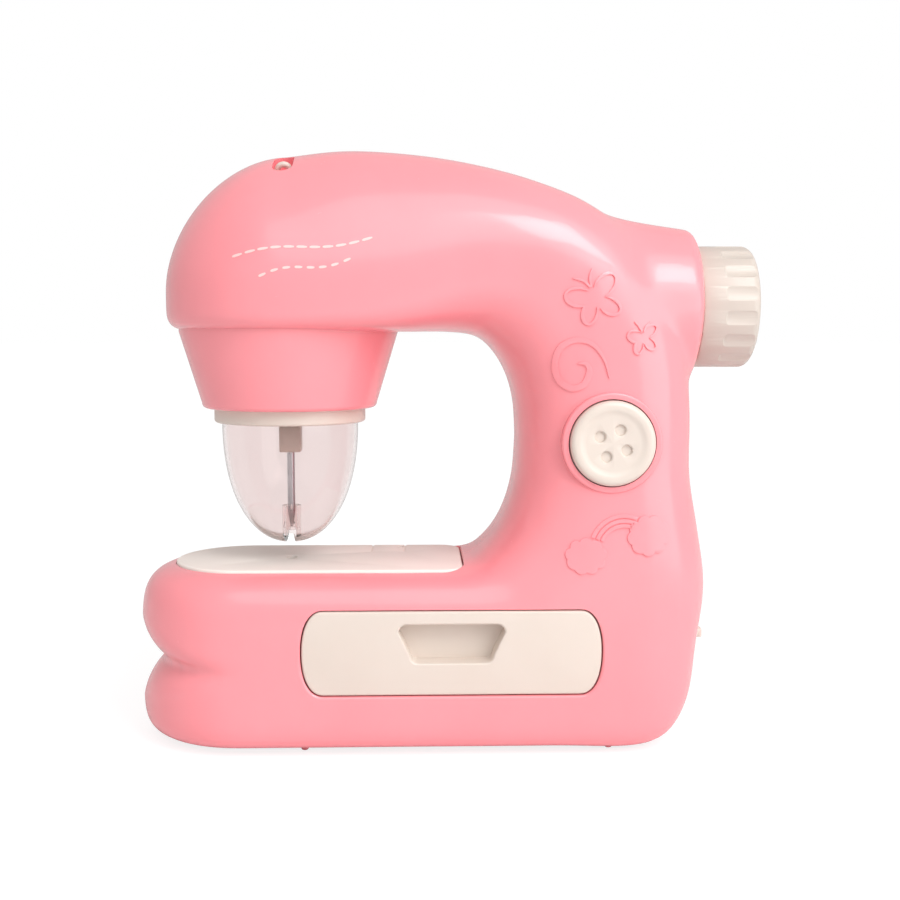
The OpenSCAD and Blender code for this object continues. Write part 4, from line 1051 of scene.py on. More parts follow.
    def channel_box(self, name: str, start: float, end: float, grow: float) -> Thing:
        """A block along the drawer's channel, grown all round."""
        (x, z), (w, h) = self.drawer, (v + grow for v in self.channel)
        return self.block(name, (x - w, start, z - h), (x + w, end, z + h))

    def thread_slot(self, grow: float) -> Thing:
        """The slot on top of the head.

        Args:
            grow: growth all round.

        Returns:
            The cutter.
        """
        outline = stadium((0.0, 0.0), self.slot_r + grow, (0.0, self.slot_half), 0.0, 16)
        points = [TOY.guide((u, v, -TOY.guide_depth - grow)) for u, v in outline]
        way = Vector(TOY.guide((0.0, 0.0, 30.0))) - Vector(TOY.guide((0.0, 0.0, 0.0)))
        return self.prism("slot", points, tuple(way))

    def cavity(self) -> Thing:
        """The room inside, less the walls of the drawer channel, crease, slot, bore and posts.

        Returns:
            The cutter.
        """
        x, z = TOY.button_x, TOY.button_z
        room = self.form.solid("room", self.wall, 3, 8, 24)
        self.join(room, Join.ADD, self.boss(self.wall, 64))
        back = self.channel_back + self.channel_wall
        self.join(room, Join.CUT, self.groove(self.wall),
                  self.channel_box("walls", AHEAD, back, self.channel_wall),
                  self.thread_slot(self.wall),
                  self.rod("sleeve", (x, AHEAD, z), (x, -30, z), self.button_bore + self.wall, 64))
        return self.join(room, Join.CUT, *(
            self.rod("post", (x, AHEAD, z), (x, BEHIND, z), self.post_r, 24)
            for x, z in self.screws))

    def open_up(self, body: Thing) -> None:
        """Cuts what both halves share: cup seat, slot, bed pocket, shaft bore and battery bay.

        Args:
            body: the whole body.
        """
        x, z, bed, gap, under = TOY.needle_x, TOY.shaft_z, Bed(), self.door_gap, -5.0
        low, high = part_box("battery_door")
        a, b = [c / MM for c in low], [c / MM for c in high]
        self.join(
            body, Join.CUT,
            self.rod("seat", (x, 0, TOY.arm_z - 20), (x, 0, TOY.arm_z + TOY.cup_seat),
                     self.cup_r, 128),
            self.thread_slot(0.0),
            self.prism("pocket", bed.outline(0.25, bed.low_z), (0, 0, 3.1),
                       [((0, 0, 4.0), (1.02, 1.04, 1.0), (bed.middle_x, 0, TOY.base_h))]),
            self.rod("shaft", (90, 0, z), (104, 0, z), self.shaft_bore, 48),
            self.block("door", (a[0] - gap, a[1] - gap, under),
                       (b[0] - self.door_tab + gap, b[1] + gap, 3.7)),
            self.block("tab", (b[0] - 12, -self.tab_half, under),
                       (b[0] + gap, self.tab_half, 3.55)),
            self.block("bay", (a[0] + 2, a[1] + 1.5, 1), (b[0] - 10, b[1] - 1.5, 19)))

    def feet(self, piece: Thing, y: float) -> None:
        """Adds two small foot pips.

        Args:
            piece: the half that carries them.
            y: their place.
        """
        pip = [(0.0, 0.0), (1.0, 0.0), (1.3, 0.3), (1.8, 3.2), (0.0, 3.2)]
        for x in (self.drawer[0] - self.drawer_half[0], TOY.column_x):
            self.join(piece, Join.ADD, self.lathe("pip", pip, Axis.Z, (x, y, 0.0), 24))

    def front(self, whole: Thing) -> Thing:
        """The front half with its drawer opening and the button's raised collar.

        Args:
            whole: the opened and hollowed body.

        Returns:
            The piece.
        """
        piece = self.copy(whole, "body_front")
        self.join(piece, Join.KEEP, self.block("half", (-200, -90, -20), (200, -self.seam, 260)))
        x, z, r, (inner, outer) = TOY.button_x, TOY.button_z, self.collar_r, self.collar_edges
        bore = r - self.collar_wall
        collar = [(bore, self.collar_h), (bore, inner)]
        collar += arc((bore + inner, inner), inner, 180, 270, 4)
        collar += arc((r - outer, outer), outer, 270, 360, 5) + [(r, self.collar_h)]
        self.join(piece, Join.ADD, self.lathe("collar", collar, Axis.Y, (x, self.collar_y, z), 128))
        centre = (self.drawer[0], 0.0, self.drawer[1])
        flare = [((0, -0.35, 0), (1.005, 1, 1.018), centre),
                 ((0, -0.30, 0), (1.010, 1, 1.036), centre), ((0, -8, 0), (1, 1, 1), centre)]
        self.join(piece, Join.CUT,
                  self.rod("bore", (x, AHEAD, z), (x, -16, z), self.button_bore, 128),
                  self.prism("mouth", self.drawer_outline(self.drawer_gap, self.drawer_seat),
                             (0, -3.1, 0), flare))
        back = self.channel_back + self.channel_wall
        self.join(piece, Join.ADD, self.channel_box("channel_back", -1.0, back, self.channel_wall))
        self.join(piece, Join.CUT, self.channel_box("channel", AHEAD, self.channel_back, 0.0))
        self.feet(piece, -self.foot_y)
        return piece

    def rear(self, whole: Thing) -> Thing:
        """The rear half with sound slots, screw ways and the switch slot.

        Args:
            whole: the opened and hollowed body.

        Returns:
            The piece.
        """
        piece = self.copy(whole, "body_rear")
        self.join(piece, Join.KEEP, self.block("half", (-200, self.seam, -20), (200, 90, 260)))
        room = self.channel_room
        self.join(piece, Join.CUT, self.channel_box("room", -5.0, self.channel_back + room, room))
        for k in range(-2, 3):
            z = k * self.sound_pitch
            half = math.sqrt(self.sound_field ** 2 - z * z) - 2 * self.sound_r
            slot = stadium((TOY.button_x, TOY.button_z + z), self.sound_r, (half, 0.0), -90, 8)
            outline = [(u, 30.0, v) for u, v in slot]
            self.join(piece, Join.CUT, self.prism("sound", outline, (0, 30, 0)))
        for x, z in self.screws:
            way = self.rod("way", (x, self.way_y, z), (x, BEHIND, z), self.way_r)
            self.join(piece, Join.CUT, way)
        self.join(piece, Join.CUT, self.block("switch", (80, 4.1, 32.3), (104, 15.9, 36.7)))
        self.feet(piece, self.foot_y)
        return piece

    def build(self) -> Thing:
        """Builds and dresses both halves.

        Returns:
            The bare outside.
        """
        outside = self.outside()
        whole = self.copy(outside, "whole")
        self.open_up(whole)
        self.join(whole, Join.CUT, self.cavity())
        for piece, node in ((self.front(whole), "front_shell"), (self.rear(whole), "rear_shell")):
            self.dress(piece, "pink_body", "frame", [node], 40.0)
        self.drop(whole)
        return outside


@dataclass
class Ornaments(Workshop):
    """Raised common ornaments on the column's front and a running stitch on the head."""

    outside: Thing
    height: float = 0.5
    root: float = 0.8
    edge: float = 0.22
    print_height: float = 0.12
    least: float = 1.6
    margin: float = 4.0
    rainbow: Flat = (63.2, 76.1)
    band_r: Flat = (7.6, 8.9)
    band_pitch: float = 1.75
    stitch_start: Flat = (-74.0, 178.4)
    stitch_l: float = 49.0
    stitch_rise: float = 7.0
    stitch_wave: float = 1.3

    @staticmethod
    def wing(centre: Flat, half: Flat, turn: float) -> List[Flat]:
        """Outline of one wing, an oval.

        Args:
            centre: its middle.
            half: its half width and half height.
            turn: its turn in degrees.

        Returns:
            The outline.
        """
        c, n = math.cos(math.radians(turn)), math.sin(math.radians(turn))
        ring = [(half[0] * u, half[1] * v) for u, v in arc((0.0, 0.0), 1.0, 0.0, 348.75, 31)]
        return [(centre[0] + c * u - n * v, centre[1] + n * u + c * v) for u, v in ring]

    @staticmethod
    def ribbon(path: Sequence[Flat], width: float, start: float, end: float,
               steps: int = 8) -> List[Flat]:
        """Outline of a smooth stroke that tapers towards both ends.

        Args:
            path: points that it passes through.
            width: full width at the middle.
            start: share of the width at its start.
            end: share of the width at its end.
            steps: steps between two points.

        Returns:
            The outline.
        """
        p = [np.array(q) for q in path]
        p = [2 * p[0] - p[1]] + p + [2 * p[-1] - p[-2]]
        stroke = [spline(*p[i - 1:i + 3], k / steps)
                  for i in range(1, len(p) - 2) for k in range(steps)] + [p[-2]]
        left, right = [], []
        last = len(stroke) - 1
        for i, q in enumerate(stroke):
            way = stroke[min(i + 1, last)] - stroke[max(i - 1, 0)]
            way = way / np.linalg.norm(way)
            s = i / last
            share = min(1.0, start + (1 - start) * s * 5, end + (1 - end) * (1 - s) * 3)
            half = width * share / 2
            left.append((q[0] - way[1] * half, q[1] + way[0] * half))
            right.append((q[0] + way[1] * half, q[1] - way[0] * half))
        return left + right[::-1]

    def cloud(self, centre: Flat, half: Flat, turn: float, lobes: int = 9) -> Relief:
        """A small cloud, an oval with round lobes along its edge.

        Args:
            centre: its middle.
            half: its half width and half height.
            turn: angle of the first lobe.
            lobes: number of lobes.

        Returns:
            The relief.
        """
        (x, z), (w, h) = centre, half
        ovals = [self.wing(centre, (w * 0.86, h * 0.86), 0.0)]
        for k in range(lobes):
            a = math.tau * k / lobes + turn
            size = 0.36 * h + 0.05 * h * math.sin(2.0 * a)
            spot = (x + (w - size) * math.cos(a), z + (h - size) * math.sin(a))
            ovals.append(self.wing(spot, (size, size), 0.0))
        return ovals, []

    def butterfly(self, ovals: Sequence[Tuple[Flat, Flat, float]], thick: float) -> Relief:
        """Raised line round the wings of a butterfly, open to its middle.

        Args:
            ovals: the wings and, last, the middle, each as centre, half sizes and turn.
            thick: thickness of the line.

        Returns:
            The relief.
        """
        (mx, mz), middle, turn = ovals[-1]
        inner = [((mx, mz), (middle[0] - thick / 2, middle[1] - thick / 2), turn)]
        for (x, z), half, turn in ovals[:-1]:
            pull = (thick + thick / 2) / math.hypot(mx - x, mz - z)
            inner.append(((x + (mx - x) * pull, z + (mz - z) * pull),
                          (half[0] + thick / 2, half[1] - thick), turn))
        return [self.wing(*o) for o in ovals], [self.wing(*o) for o in inner]

    def outlines(self) -> List[Relief]:
        """The raised ornaments.

        Returns:
            Their reliefs: feelers, curl, two butterflies, rainbow and two clouds.
        """
        strokes = (([(50.3, 168.6), (47.8, 170.8), (44.0, 171.7)], 0.8, 0.8, 0.4),
                   ([(50.6, 168.6), (50.2, 172.0), (51.0, 175.1)], 0.8, 0.8, 0.4),
                   ([(69.0, 153.0), (67.8, 155.0), (66.2, 156.6)], 0.65, 0.8, 0.4),
                   ([(69.6, 153.0), (70.6, 155.0), (72.1, 156.6)], 0.65, 0.8, 0.4),
                   ([(46.4, 142.0), (49.3, 141.7), (50.4, 139.1), (48.6, 134.6), (44.1, 133.2),
                     (39.7, 136.3), (38.4, 142.0), (40.4, 147.6), (45.7, 150.2), (51.6, 148.5),
                     (55.6, 143.2), (57.5, 136.7)], 2.2, 0.25, 0.12))
        large = (((45.9, 165.1), (4.9, 3.6), -8.0), ((55.8, 169.6), (5.0, 3.6), 48.0),
                 ((57.6, 161.9), (4.2, 3.2), -25.0), ((50.1, 159.3), (4.1, 3.0), 82.0),
                 ((51.6, 164.6), (3.2, 2.6), 0.0))
        small = (((66.4, 151.4), (3.0, 2.4), -12.0), ((72.3, 153.6), (2.9, 2.2), 38.0),
                 ((72.3, 148.6), (2.5, 2.1), -35.0), ((67.7, 147.6), (2.7, 1.9), 78.0),
                 ((69.4, 151.0), (2.0, 1.8), 0.0))
        reliefs: List[Relief] = [([self.ribbon(*stroke)], []) for stroke in strokes]
        reliefs += [self.butterfly(large, 0.85), self.butterfly(small, 0.7)]
        for k in range(3):
            low, high = (r + self.band_pitch * k for r in self.band_r)
            reliefs.append(([arc(self.rainbow, high, 66, 160, 24)
                             + arc(self.rainbow, low, 160, 66, 24)], []))
        return reliefs + [self.cloud((49.8, 73.5), (7.5, 6.6), 0.2),
                          self.cloud((72.4, 80.7), (7.9, 7.4), 0.5)]

    def stitches(self) -> List[Relief]:
        """Dashes of a running stitch along a gentle wave on the head.

        Returns:
            Their reliefs.
        """
        dashes = []
        x0, z0 = self.stitch_start
        for inset, span, lift, count, length in (
                (0.0, self.stitch_l, 0.0, 11, 3.6), (9.0, self.stitch_l - 16.0, -7.0, 8, 2.6)):
            for k in range(count):
                s = (k + 0.5) / count
                x = x0 + inset + s * span
                z = z0 + lift + self.stitch_rise * s + self.stitch_wave * math.sin(math.tau * s)
                slope = (self.stitch_rise
                         + self.stitch_wave * math.tau * math.cos(math.tau * s)) / span
                step = length / 2 / math.hypot(1.0, slope)
                dash = [(x + side * step, z + side * slope * step) for side in (-1, 0, 1)]
                dashes.append(([self.ribbon(dash, 0.9, 0.55, 0.55)], []))
        return dashes

    def stamp(self, name: str, shapes: Sequence[Relief], height: float, soft: float) -> Thing:
        """Raises outlines over the body's own surface.

        Args:
            name: name of the piece.
            shapes: reliefs, each with the outlines that it joins and those it leaves open.
            height: height over the surface.
            soft: rounding of the edges, or zero.

        Returns:
            All the reliefs as one piece.
        """
        skin, core = self.copy(self.outside, "skin"), self.copy(self.outside, "core")
        self.modify(skin, "DISPLACE", strength=height * MM, mid_level=0.0)
        self.modify(core, "DISPLACE", strength=-self.root * MM, mid_level=0.0)
        xs, zs = zip(*(q for group, _ in shapes for outline in group for q in outline))
        m = self.margin
        patch = self.block("patch", (min(xs) - m, -80, min(zs) - m),
                           (max(xs) + m, -20, max(zs) + m))
        self.join(skin, Join.KEEP, patch)
        self.join(skin, Join.CUT, core)
        pieces = []
        for k, (group, gaps) in enumerate(shapes):
            piece, *others = [
                self.prism(f"{name}_{k}", [(x, -20.0, z) for x, z in outline], (0, -40, 0))
                for outline in list(group) + list(gaps)]
            self.join(piece, Join.ADD, *others[:len(group) - 1])
            self.join(piece, Join.CUT, *others[len(group) - 1:])
            self.join(piece, Join.KEEP, skin, spare=True)
            if soft:
                self.soften(piece, soft, 2, 40.0)
            pieces.append(piece)
        self.drop(skin)
        return self.sift(self.gather(name, pieces), self.least)

    def build(self) -> None:
        """Builds and dresses the ornaments and the stitches, then drops the bare outside."""
        self.dress(self.stamp("column_ornaments", self.outlines(), self.height, self.edge),
                   "pink_body", "frame")
        self.dress(self.stamp("head_stitches", self.stitches(), self.print_height, 0.0),
                   "white_plastic", "frame", finish="stitch_print")
        self.drop(self.outside)


@dataclass
class NeedleHead(Workshop):
    """Cup, trim ring, clear guard, needle, clamp and thread bow under and on the head."""

    x: float = TOY.needle_x
    cup_top_r: float = 41.0
    cup_low_r: float = 33.0
    cup_low_z: float = TOY.arm_z - 28.5
    cup_wall: float = 2.2
    cup_edge: float = 2.0
    cup_lip: float = 1.5
    ring_r: float = 28.5
    ring_edge: float = 1.1
    ring_low_z: float = TOY.arm_z - 33.9
    web_z: float = TOY.arm_z - 26.0
    web_t: float = 2.0
    tube_h: float = 18.0
    tube_r: Flat = (3.05, 5.4)
    lamp_x: float = 14.0
    lamp_r: float = 2.55
    guard_r: float = 25.7
    guard_h: float = 46.25
    guard_wall: float = 1.4
    guard_round: float = 2.2
    guide_r: Flat = (2.05, 3.6)
    guide_h: float = 14.0
    slit: Flat = (1.95, 5.0)
    clamp_half: float = 4.05
    clamp_h: float = 10.0
    clamp_drop: float = 1.6
    nick: float = 0.35
    needle_l: float = 33.6
    needle_r: float = 1.45
    eye: Flat = (6.5, 8.7)
    eye_half: float = 0.4
    bow_rise: float = 1.9
    bow_r: float = 2.4
    bow_wire: float = 1.1

    def turned(self, name: str, profile: Sequence[Flat], steps: int, z: float = 0.0) -> Thing:
        """Spins a profile about the needle's axis."""
        return self.lathe(name, profile, Axis.Z, (self.x, 0.0, z), steps)

    def cup(self) -> None:
        """The pink cone, with a rounded lower edge."""
        low, seat, top = self.cup_low_z, TOY.arm_z + TOY.cup_seat, self.cup_top_r
        wall, edge, lip, neck = self.cup_wall, self.cup_edge, self.cup_lip, self.ring_r - 0.5
        profile = [(top - wall, seat + lip), (top + lip, seat + lip), (top + lip, seat),
                   (top, seat), (top, TOY.arm_z)]
        profile += arc((self.cup_low_r - edge, low + edge), edge, 0, -90, 8)
        profile += [(neck, low), (neck, low + wall), (self.cup_low_r - wall, low + wall),
                    (top - wall, TOY.arm_z)]
        piece = self.turned("needle_cone", profile, 144)
        self.dress(piece, "pink_body", "frame", ["needle_cup"])

    def ring(self) -> None:
        """The ivory ring and the web that carries the bar's guide."""
        low, top, r, web, edge = (
            self.ring_low_z, self.cup_low_z - 0.15, self.ring_r, self.web_z, self.ring_edge)
        bore, neck, flange, (inner, outer) = self.guard_r + 0.3, r - 0.8, r + 1.3, self.tube_r
        profile = [(inner, web), (bore, web), (bore, low)]
        profile += arc((r - edge, low + edge), edge, -90, 0, 6)
        profile += [(r, top), (neck, top), (neck, web), (flange, web), (flange, web + self.web_t),
                    (outer, web + self.web_t), (outer, web + self.tube_h),
                    (inner, web + self.tube_h)]
        x = self.x + self.lamp_x
        piece = self.join(self.turned("ivory_ring", profile, 128), Join.CUT, self.rod(
            "lamp_hole", (x, 0, web - 3), (x, 0, web + 5), self.lamp_r))
        self.dress(piece, "ivory_plastic", "frame", ["trim_ring"])

    def dome(self, inset: float, least: float, steps: int = 48) -> List[Flat]:
        """Half outline of the guard at one wall depth.

        Args:
            inset: depth below the outside.
            least: radius at which it ends.
            steps: steps of a whole half outline.

        Returns:
            The outline from the rim downwards.
        """
        points = []
        for k in range(steps + 1):
            a = math.radians(90 * k / steps)
            r = (self.guard_r - inset) * power(max(math.cos(a), 0.0), self.guard_round)
            drop = (self.guard_h - inset) * power(math.sin(a), self.guard_round)
            if r > least:
                points.append((r, self.ring_low_z - drop))
        return points

    def guard(self) -> None:
        """The clear dome with its needle tube and slotted tip."""
        top, tip, (bore, tube) = self.web_z - 0.3, self.ring_low_z - self.guard_h, self.guide_r
        outside = self.dome(0.0, bore)
        inside = self.dome(self.guard_wall, tube + 0.05)[::-1]
        profile = [(self.guard_r, top)] + outside + [
            (bore, outside[-1][1] + 0.02), (bore, tip + self.guide_h), (tube, tip + self.guide_h),
            (tube, inside[0][1])] + inside + [(self.guard_r - self.guard_wall, top)]
        half, tall = self.slit
        piece = self.join(self.turned("clear_guard", profile, 128), Join.CUT, self.block(
            "slit", (self.x - half, -30, tip - 2), (self.x + half, 30, tip + tall)))
        self.dress(piece, "clear_plastic", "frame", ["needle_guard"])

    def clamp(self) -> None:
        """The needle clamp, a rounded block with a slotted screw."""
        x, h, top, nick = self.x, self.clamp_half, self.ring_low_z - self.clamp_drop, self.nick
        low, mid = top - self.clamp_h, top - self.clamp_h / 2
        piece = self.block("clamp_block", (x - h, -h, low), (x + h, h, top))
        self.soften(piece, 0.6)
        self.join(piece, Join.CUT, self.rod("hold", (x, 0, low - 3), (x, 0, mid), 1.5))
        head = self.lathe("clamp_screw", [(0, -0.5), (1.8, -0.5), (1.8, 1.8), (1.5, 2.2), (0, 2.2)],
                          Axis.Y, (x, h, mid), 32)
        self.join(head, Join.CUT, self.block(
            "nick", (x - nick, h + 1.4, low - 3), (x + nick, h + 4, top + 3)))
        self.join(piece, Join.ADD, head)
        self.dress(piece, "clamp_plastic", "needle_unit", ["needle_clamp"])

    def needle(self) -> None:
        """The blunt needle with a flat-sided eye above its tip."""
        x, l, r, half = self.x, self.needle_l, self.needle_r, self.eye_half
        tip = self.ring_low_z - self.clamp_drop - self.clamp_h / 2 - 0.3 - l
        profile = [(0, 0), (0.3, 0.02), (0.45, 0.3), (0.9, 2.5), (1.3, 4.7), (r, 6.0),
                   (r, l - 0.1), (1.3, l), (0, l)]
        eye = self.block("eye", (x - half, -3, tip + self.eye[0]), (x + half, 3, tip + self.eye[1]))
        self.soften(eye, 0.35)
        piece = self.join(self.turned("needle_rod", profile, 32, tip), Join.CUT, eye)
        self.dress(piece, "bright_steel", "needle_unit", ["needle"])

    def bow(self) -> None:
        """The small ivory thread bow in the slot on the head."""
        floor = self.bow_rise - TOY.guide_depth
        ring = arc((self.bow_r, 0), self.bow_wire, 0, 337.5, 15)
        piece = self.line("thread_bow", [TOY.guide((u, v, floor)) for u, v in ring])
        bpy.ops.mesh.edge_face_add()
        centre, ahead = (Vector(TOY.guide((0.0, y, floor))) for y in (0.0, 1.0))
        bpy.ops.mesh.spin(steps=24, angle=math.pi, center=centre * MM, axis=ahead - centre)
        self.weld(piece)
        self.join(piece, Join.ADD, *(
            self.rod("leg", TOY.guide((side, 0.0, 0.05 - TOY.guide_depth)),
                     TOY.guide((side, 0.0, floor + 0.3)), self.bow_wire, 16)
            for side in (-self.bow_r, self.bow_r)))
        self.dress(piece, "ivory_plastic", "frame", ["thread_guide"])

    def build(self) -> None:
        """Builds and dresses the pieces of the needle head."""
        for make in (self.cup, self.ring, self.guard, self.clamp, self.needle, self.bow):
            make()


@dataclass
class Bed(Workshop):
    """The ivory plate let into the bed."""

    x: float = TOY.bed_end_x + 13.2
    half: float = 26.6
    length: float = 109.0
    corner: float = 8.0
    thick: float = 3.0
    low_z: float = TOY.base_h - 3.0
    under_z: float = 55.0
    slot_r: float = 2.0
    slot_half: float = 1.5
    lines_at: Flat = (0.68, 0.80)
    line_half: float = 0.4
    middle_x: float = x + length / 2

    def outline(self, grow: float, z: float) -> List[Point]:
        """The plate's outline, round at the needle end.

        Args:
            grow: growth all round.
            z: height of its plane.

        Returns:
            The outline.
        """
        turn, end, r = self.x + self.half, self.x + self.length, self.corner
        flat = arc((turn, 0.0), self.half + grow, 90, 270, 48)
        flat += arc((end - r, r - self.half), r + grow, 270, 360, 10)
        flat += arc((end - r, self.half - r), r + grow, 0, 90, 10)
        return [(u, v, z) for u, v in flat]

    def build(self) -> None:
        """Builds and dresses the plate."""
        piece = self.prism("bed_top", self.outline(0.0, self.low_z), (0, 0, self.thick))
        self.soften(piece, 0.7, 4, 60.0)
        slot = stadium((TOY.needle_x, 0.0), self.slot_r, (0.0, self.slot_half), 0, 12)
        self.join(piece, Join.CUT, self.prism(
            "needle_slot", [(u, v, self.under_z) for u, v in slot], (0, 0, 15)))
        top, half = TOY.base_h, self.line_half
        places = [self.x + self.length * share for share in self.lines_at]
        self.join(piece, Join.CUT, *(
            self.block("line", (x - half, self.half - 16, top - 0.5), (x + half, 30, top + 4))
            for x in places))
        x = places[-1]
        self.join(piece, Join.CUT, self.block(
            "peg", (x - 3, self.half - 6, self.under_z), (x - 0.8, self.half - 3, top + 4)))
        self.soften(piece, 0.15, 2, 60.0)
        # the plate's finish is a lightened ivory, painted light against the shade under the head
        self.dress(piece, "ivory_plastic", "frame", ["bed_plate"], finish="bed_plate")


@dataclass
class DrawerUnit(Workshop):
    """The drawer: a flush front with a finger recess, and its tray."""

    shells: BodyShells
    front_y: float = -39.7
    front_t: float = 3.0
    tray_half: Flat = (47.25, 13.45)
    tray_back: float = 17.3
    tray_wall: float = 1.8
    recess_l: float = 10.0
    recess_r: float = 3.0
    recess_lift: float = 3.4
    recess_half: Point = (16.0, 12.0, 4.0)

    def recess(self, grow: float, y: float) -> List[Point]:
        """Outline of the finger recess, wider at its top.

        Args:
            grow: growth all round.
            y: place of its plane.

        Returns:
            The outline.
        """
        (x, z), (top, low, tall) = self.shells.drawer, self.recess_half
        z += self.recess_lift
        points: List[Point] = []
        for k, (u, v) in enumerate(((top, tall), (-top, tall), (-low, -tall), (low, -tall))):
            corner = arc((x + u, z + v), self.recess_r + grow, 90 * k, 90 * k + 90, 8)
            points += [(s, y, t) for s, t in corner]
        return points

    def build(self) -> None:
        """Builds and dresses the drawer."""
        (x, z), (hw, hh), w = self.shells.drawer, self.tray_half, self.tray_wall
        back, end = self.front_y + self.front_t, self.front_y + self.recess_l
        outline = self.shells.drawer_outline(0.0, back)
        front = self.prism("drawer_box", outline, (0, -self.front_t, 0))
        self.soften(front, 0.9, 4, 60.0)
        tray = self.block("tray", (x - hw, back - 0.6, z - hh), (x + hw, self.tray_back, z + hh))
        self.soften(tray, 0.5, 2)
        self.join(tray, Join.CUT, self.block(
            "room", (x - hw + w, back, z - hh + w), (x + hw - w, self.tray_back - w, z + hh + 5)))
        pod = self.prism("pod", self.recess(w, end), (0, 1.2 - self.recess_l, 0))
        self.join(front, Join.ADD, tray, pod)
        centre, deep = (x, 0.0, z + self.recess_lift), end - w
        flare = [((0, -0.4, 0), (1.008, 1, 1.02), centre),
                 ((0, -0.3, 0), (1.022, 1, 1.06), centre), ((0, -5, 0), (1, 1, 1), centre)]
        self.join(front, Join.CUT, self.prism(
            "hollow", self.recess(0.0, deep), (0, self.front_y - deep + 0.7, 0), flare))
        self.dress(front, "ivory_plastic", "drawer_box", ["drawer"], 28.0)


@dataclass
class StartButton(Workshop):
    """The push button, shaped like a four-hole clothes button."""

    x: float = TOY.button_x
    z: float = TOY.button_z
    face_y: float = -40.8
    r: float = 15.2
    edge: float = 2.0
    flange: Point = (1.3, 6.5, 1.6)
    stem_r: float = 3.0
    skin: float = 3.0
    pitch: float = 7.5
    turn: float = -18.0
    travel: float = 2.2
    seat_y: float = -16.0
    wire: float = 0.45
    turns: int = 6
    turn_steps: int = 24

    def spring(self) -> None:
        """Winds and dresses the return spring to fill its part's box; the real spring shortens as
        the button goes in, which is not modelled here.
        """
        low, high = [Vector(c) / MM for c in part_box("button_spring")]
        radius, start = (high.x - low.x) / 2 - self.wire, low.y + self.wire
        rise = (high.y - low.y - 2 * self.wire) / self.turns
        ring = arc((radius, 0.0), self.wire, 0, 315, 7)
        piece = self.line("button_coil", [(u, v, 0.0) for u, v in ring])
        bpy.ops.mesh.edge_face_add()
        bpy.ops.mesh.delete(type="ONLY_FACE")
        bpy.ops.object.mode_set(mode="OBJECT")
        self.modify(piece, "SCREW", axis="Y", angle=math.tau, screw_offset=rise * MM,
                    steps=self.turn_steps, render_steps=self.turn_steps, iterations=self.turns)
        self.edit(piece)
        bpy.ops.mesh.remove_doubles(threshold=TINY)
        bpy.ops.mesh.select_all(action="SELECT")
        bpy.ops.mesh.fill_holes(sides=0)
        bpy.ops.mesh.select_all(action="SELECT")
        bpy.ops.transform.translate(value=Vector((self.x, start, self.z)) * MM)
        self.weld(piece)
        self.dress(piece, "bright_steel", "frame", ["button_spring"], 50.0)
        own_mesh(piece)

    def build(self) -> None:
        """Builds and dresses the button and its spring."""
        self.spring()
        _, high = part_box("start_button")
        stem, r, edge, inner = high[1] / MM - self.face_y, self.r, self.edge, self.r - 2
        out, low, thick = self.flange
        profile = [(0.0, 0.75), (9.6, 0.75), (10.6, 0.6), (11.4, 0.25), (12.0, 0.05), (12.6, 0.0)]
        profile += arc((r - edge, edge), edge, -90, 0, 8)
        profile += [(r, low), (r + out, low), (r + out, low + thick), (inner, low + thick),
                    (inner, self.skin), (self.stem_r, self.skin), (self.stem_r, stem), (0, stem)]
        piece = self.lathe("button_cap", profile, Axis.Y, (self.x, self.face_y, self.z), 128)
        spin, half = Matrix.Rotation(math.radians(self.turn), 3, "Y"), self.pitch / 2
        hole = [(0, -3), (2.5, -3), (2.5, 0.73), (2.2, 0.85), (1.95, 1.15), (1.9, 1.9), (0, 1.9)]
        for u, v in ((-half, -half), (-half, half), (half, -half), (half, half)):
            spot = spin @ Vector((u, 0.0, v))
            place = (self.x + spot.x, self.face_y, self.z + spot.z)
            self.join(piece, Join.CUT, self.lathe("hole", hole, Axis.Y, place, 32))
        self.dress(piece, "ivory_plastic", "button", ["start_button"], 40.0)


@dataclass
class Handwheel(Workshop):
    """The fluted ivory knob on the boss."""

    x: float = TOY.wheel_x
    z: float = TOY.shaft_z
    r: float = 22.8
    length: float = TOY.wheel_l
    edge: float = 3.25
    rim: float = 3.0
    flutes: int = 16
    flute_r: float = 7.0
    flute_depth: float = 0.7
    nose: float = 3.0
    band: float = 6.4
    bore: float = 2.05

    def build(self) -> None:
        """Builds and dresses the knob."""
        r, end, edge = self.r, self.length, self.edge
        rim = r - edge - self.rim
        profile = [(0.0, 0.0), (r - 1, 0.0), (r - 0.3, 0.3), (r, 1.0)]
        profile += arc((r - edge, end - edge), edge, 0, 90, 12)
        profile += [(rim + 0.4, end), (rim, end - 0.15), (rim - 1.0, end - 1.0), (0.0, end - 1.0)]
        piece = self.lathe("fluted_knob", profile, Axis.X, (self.x, 0.0, self.z), 192)
        flute = [(0.0, self.band)]
        for t in [math.radians(15 * j) for j in range(1, 7)]:
            flute.append((self.flute_r * math.sin(t), self.band + self.nose * (1 - math.cos(t))))
        flute += [(self.flute_r, 30.0), (0.0, 30.0)]
        reach = r + self.flute_r - self.flute_depth
        for k in range(self.flutes):
            a = math.tau * (k + 0.5) / self.flutes
            place = (self.x, -reach * math.sin(a), self.z + reach * math.cos(a))
            self.join(piece, Join.CUT, self.lathe("flute", flute, Axis.X, place, 40))
        self.join(piece, Join.CUT, self.rod(
            "bore", (self.x - 2, 0, self.z), (self.x + 10, 0, self.z), self.bore))
        self.soften(piece, 0.45, 3, 24.0)
        # the knob's finish is a darkened ivory, painted shade against the strong light from the
        # right
        self.dress(piece, "ivory_plastic", "drivetrain", ["handwheel"], finish="knob")


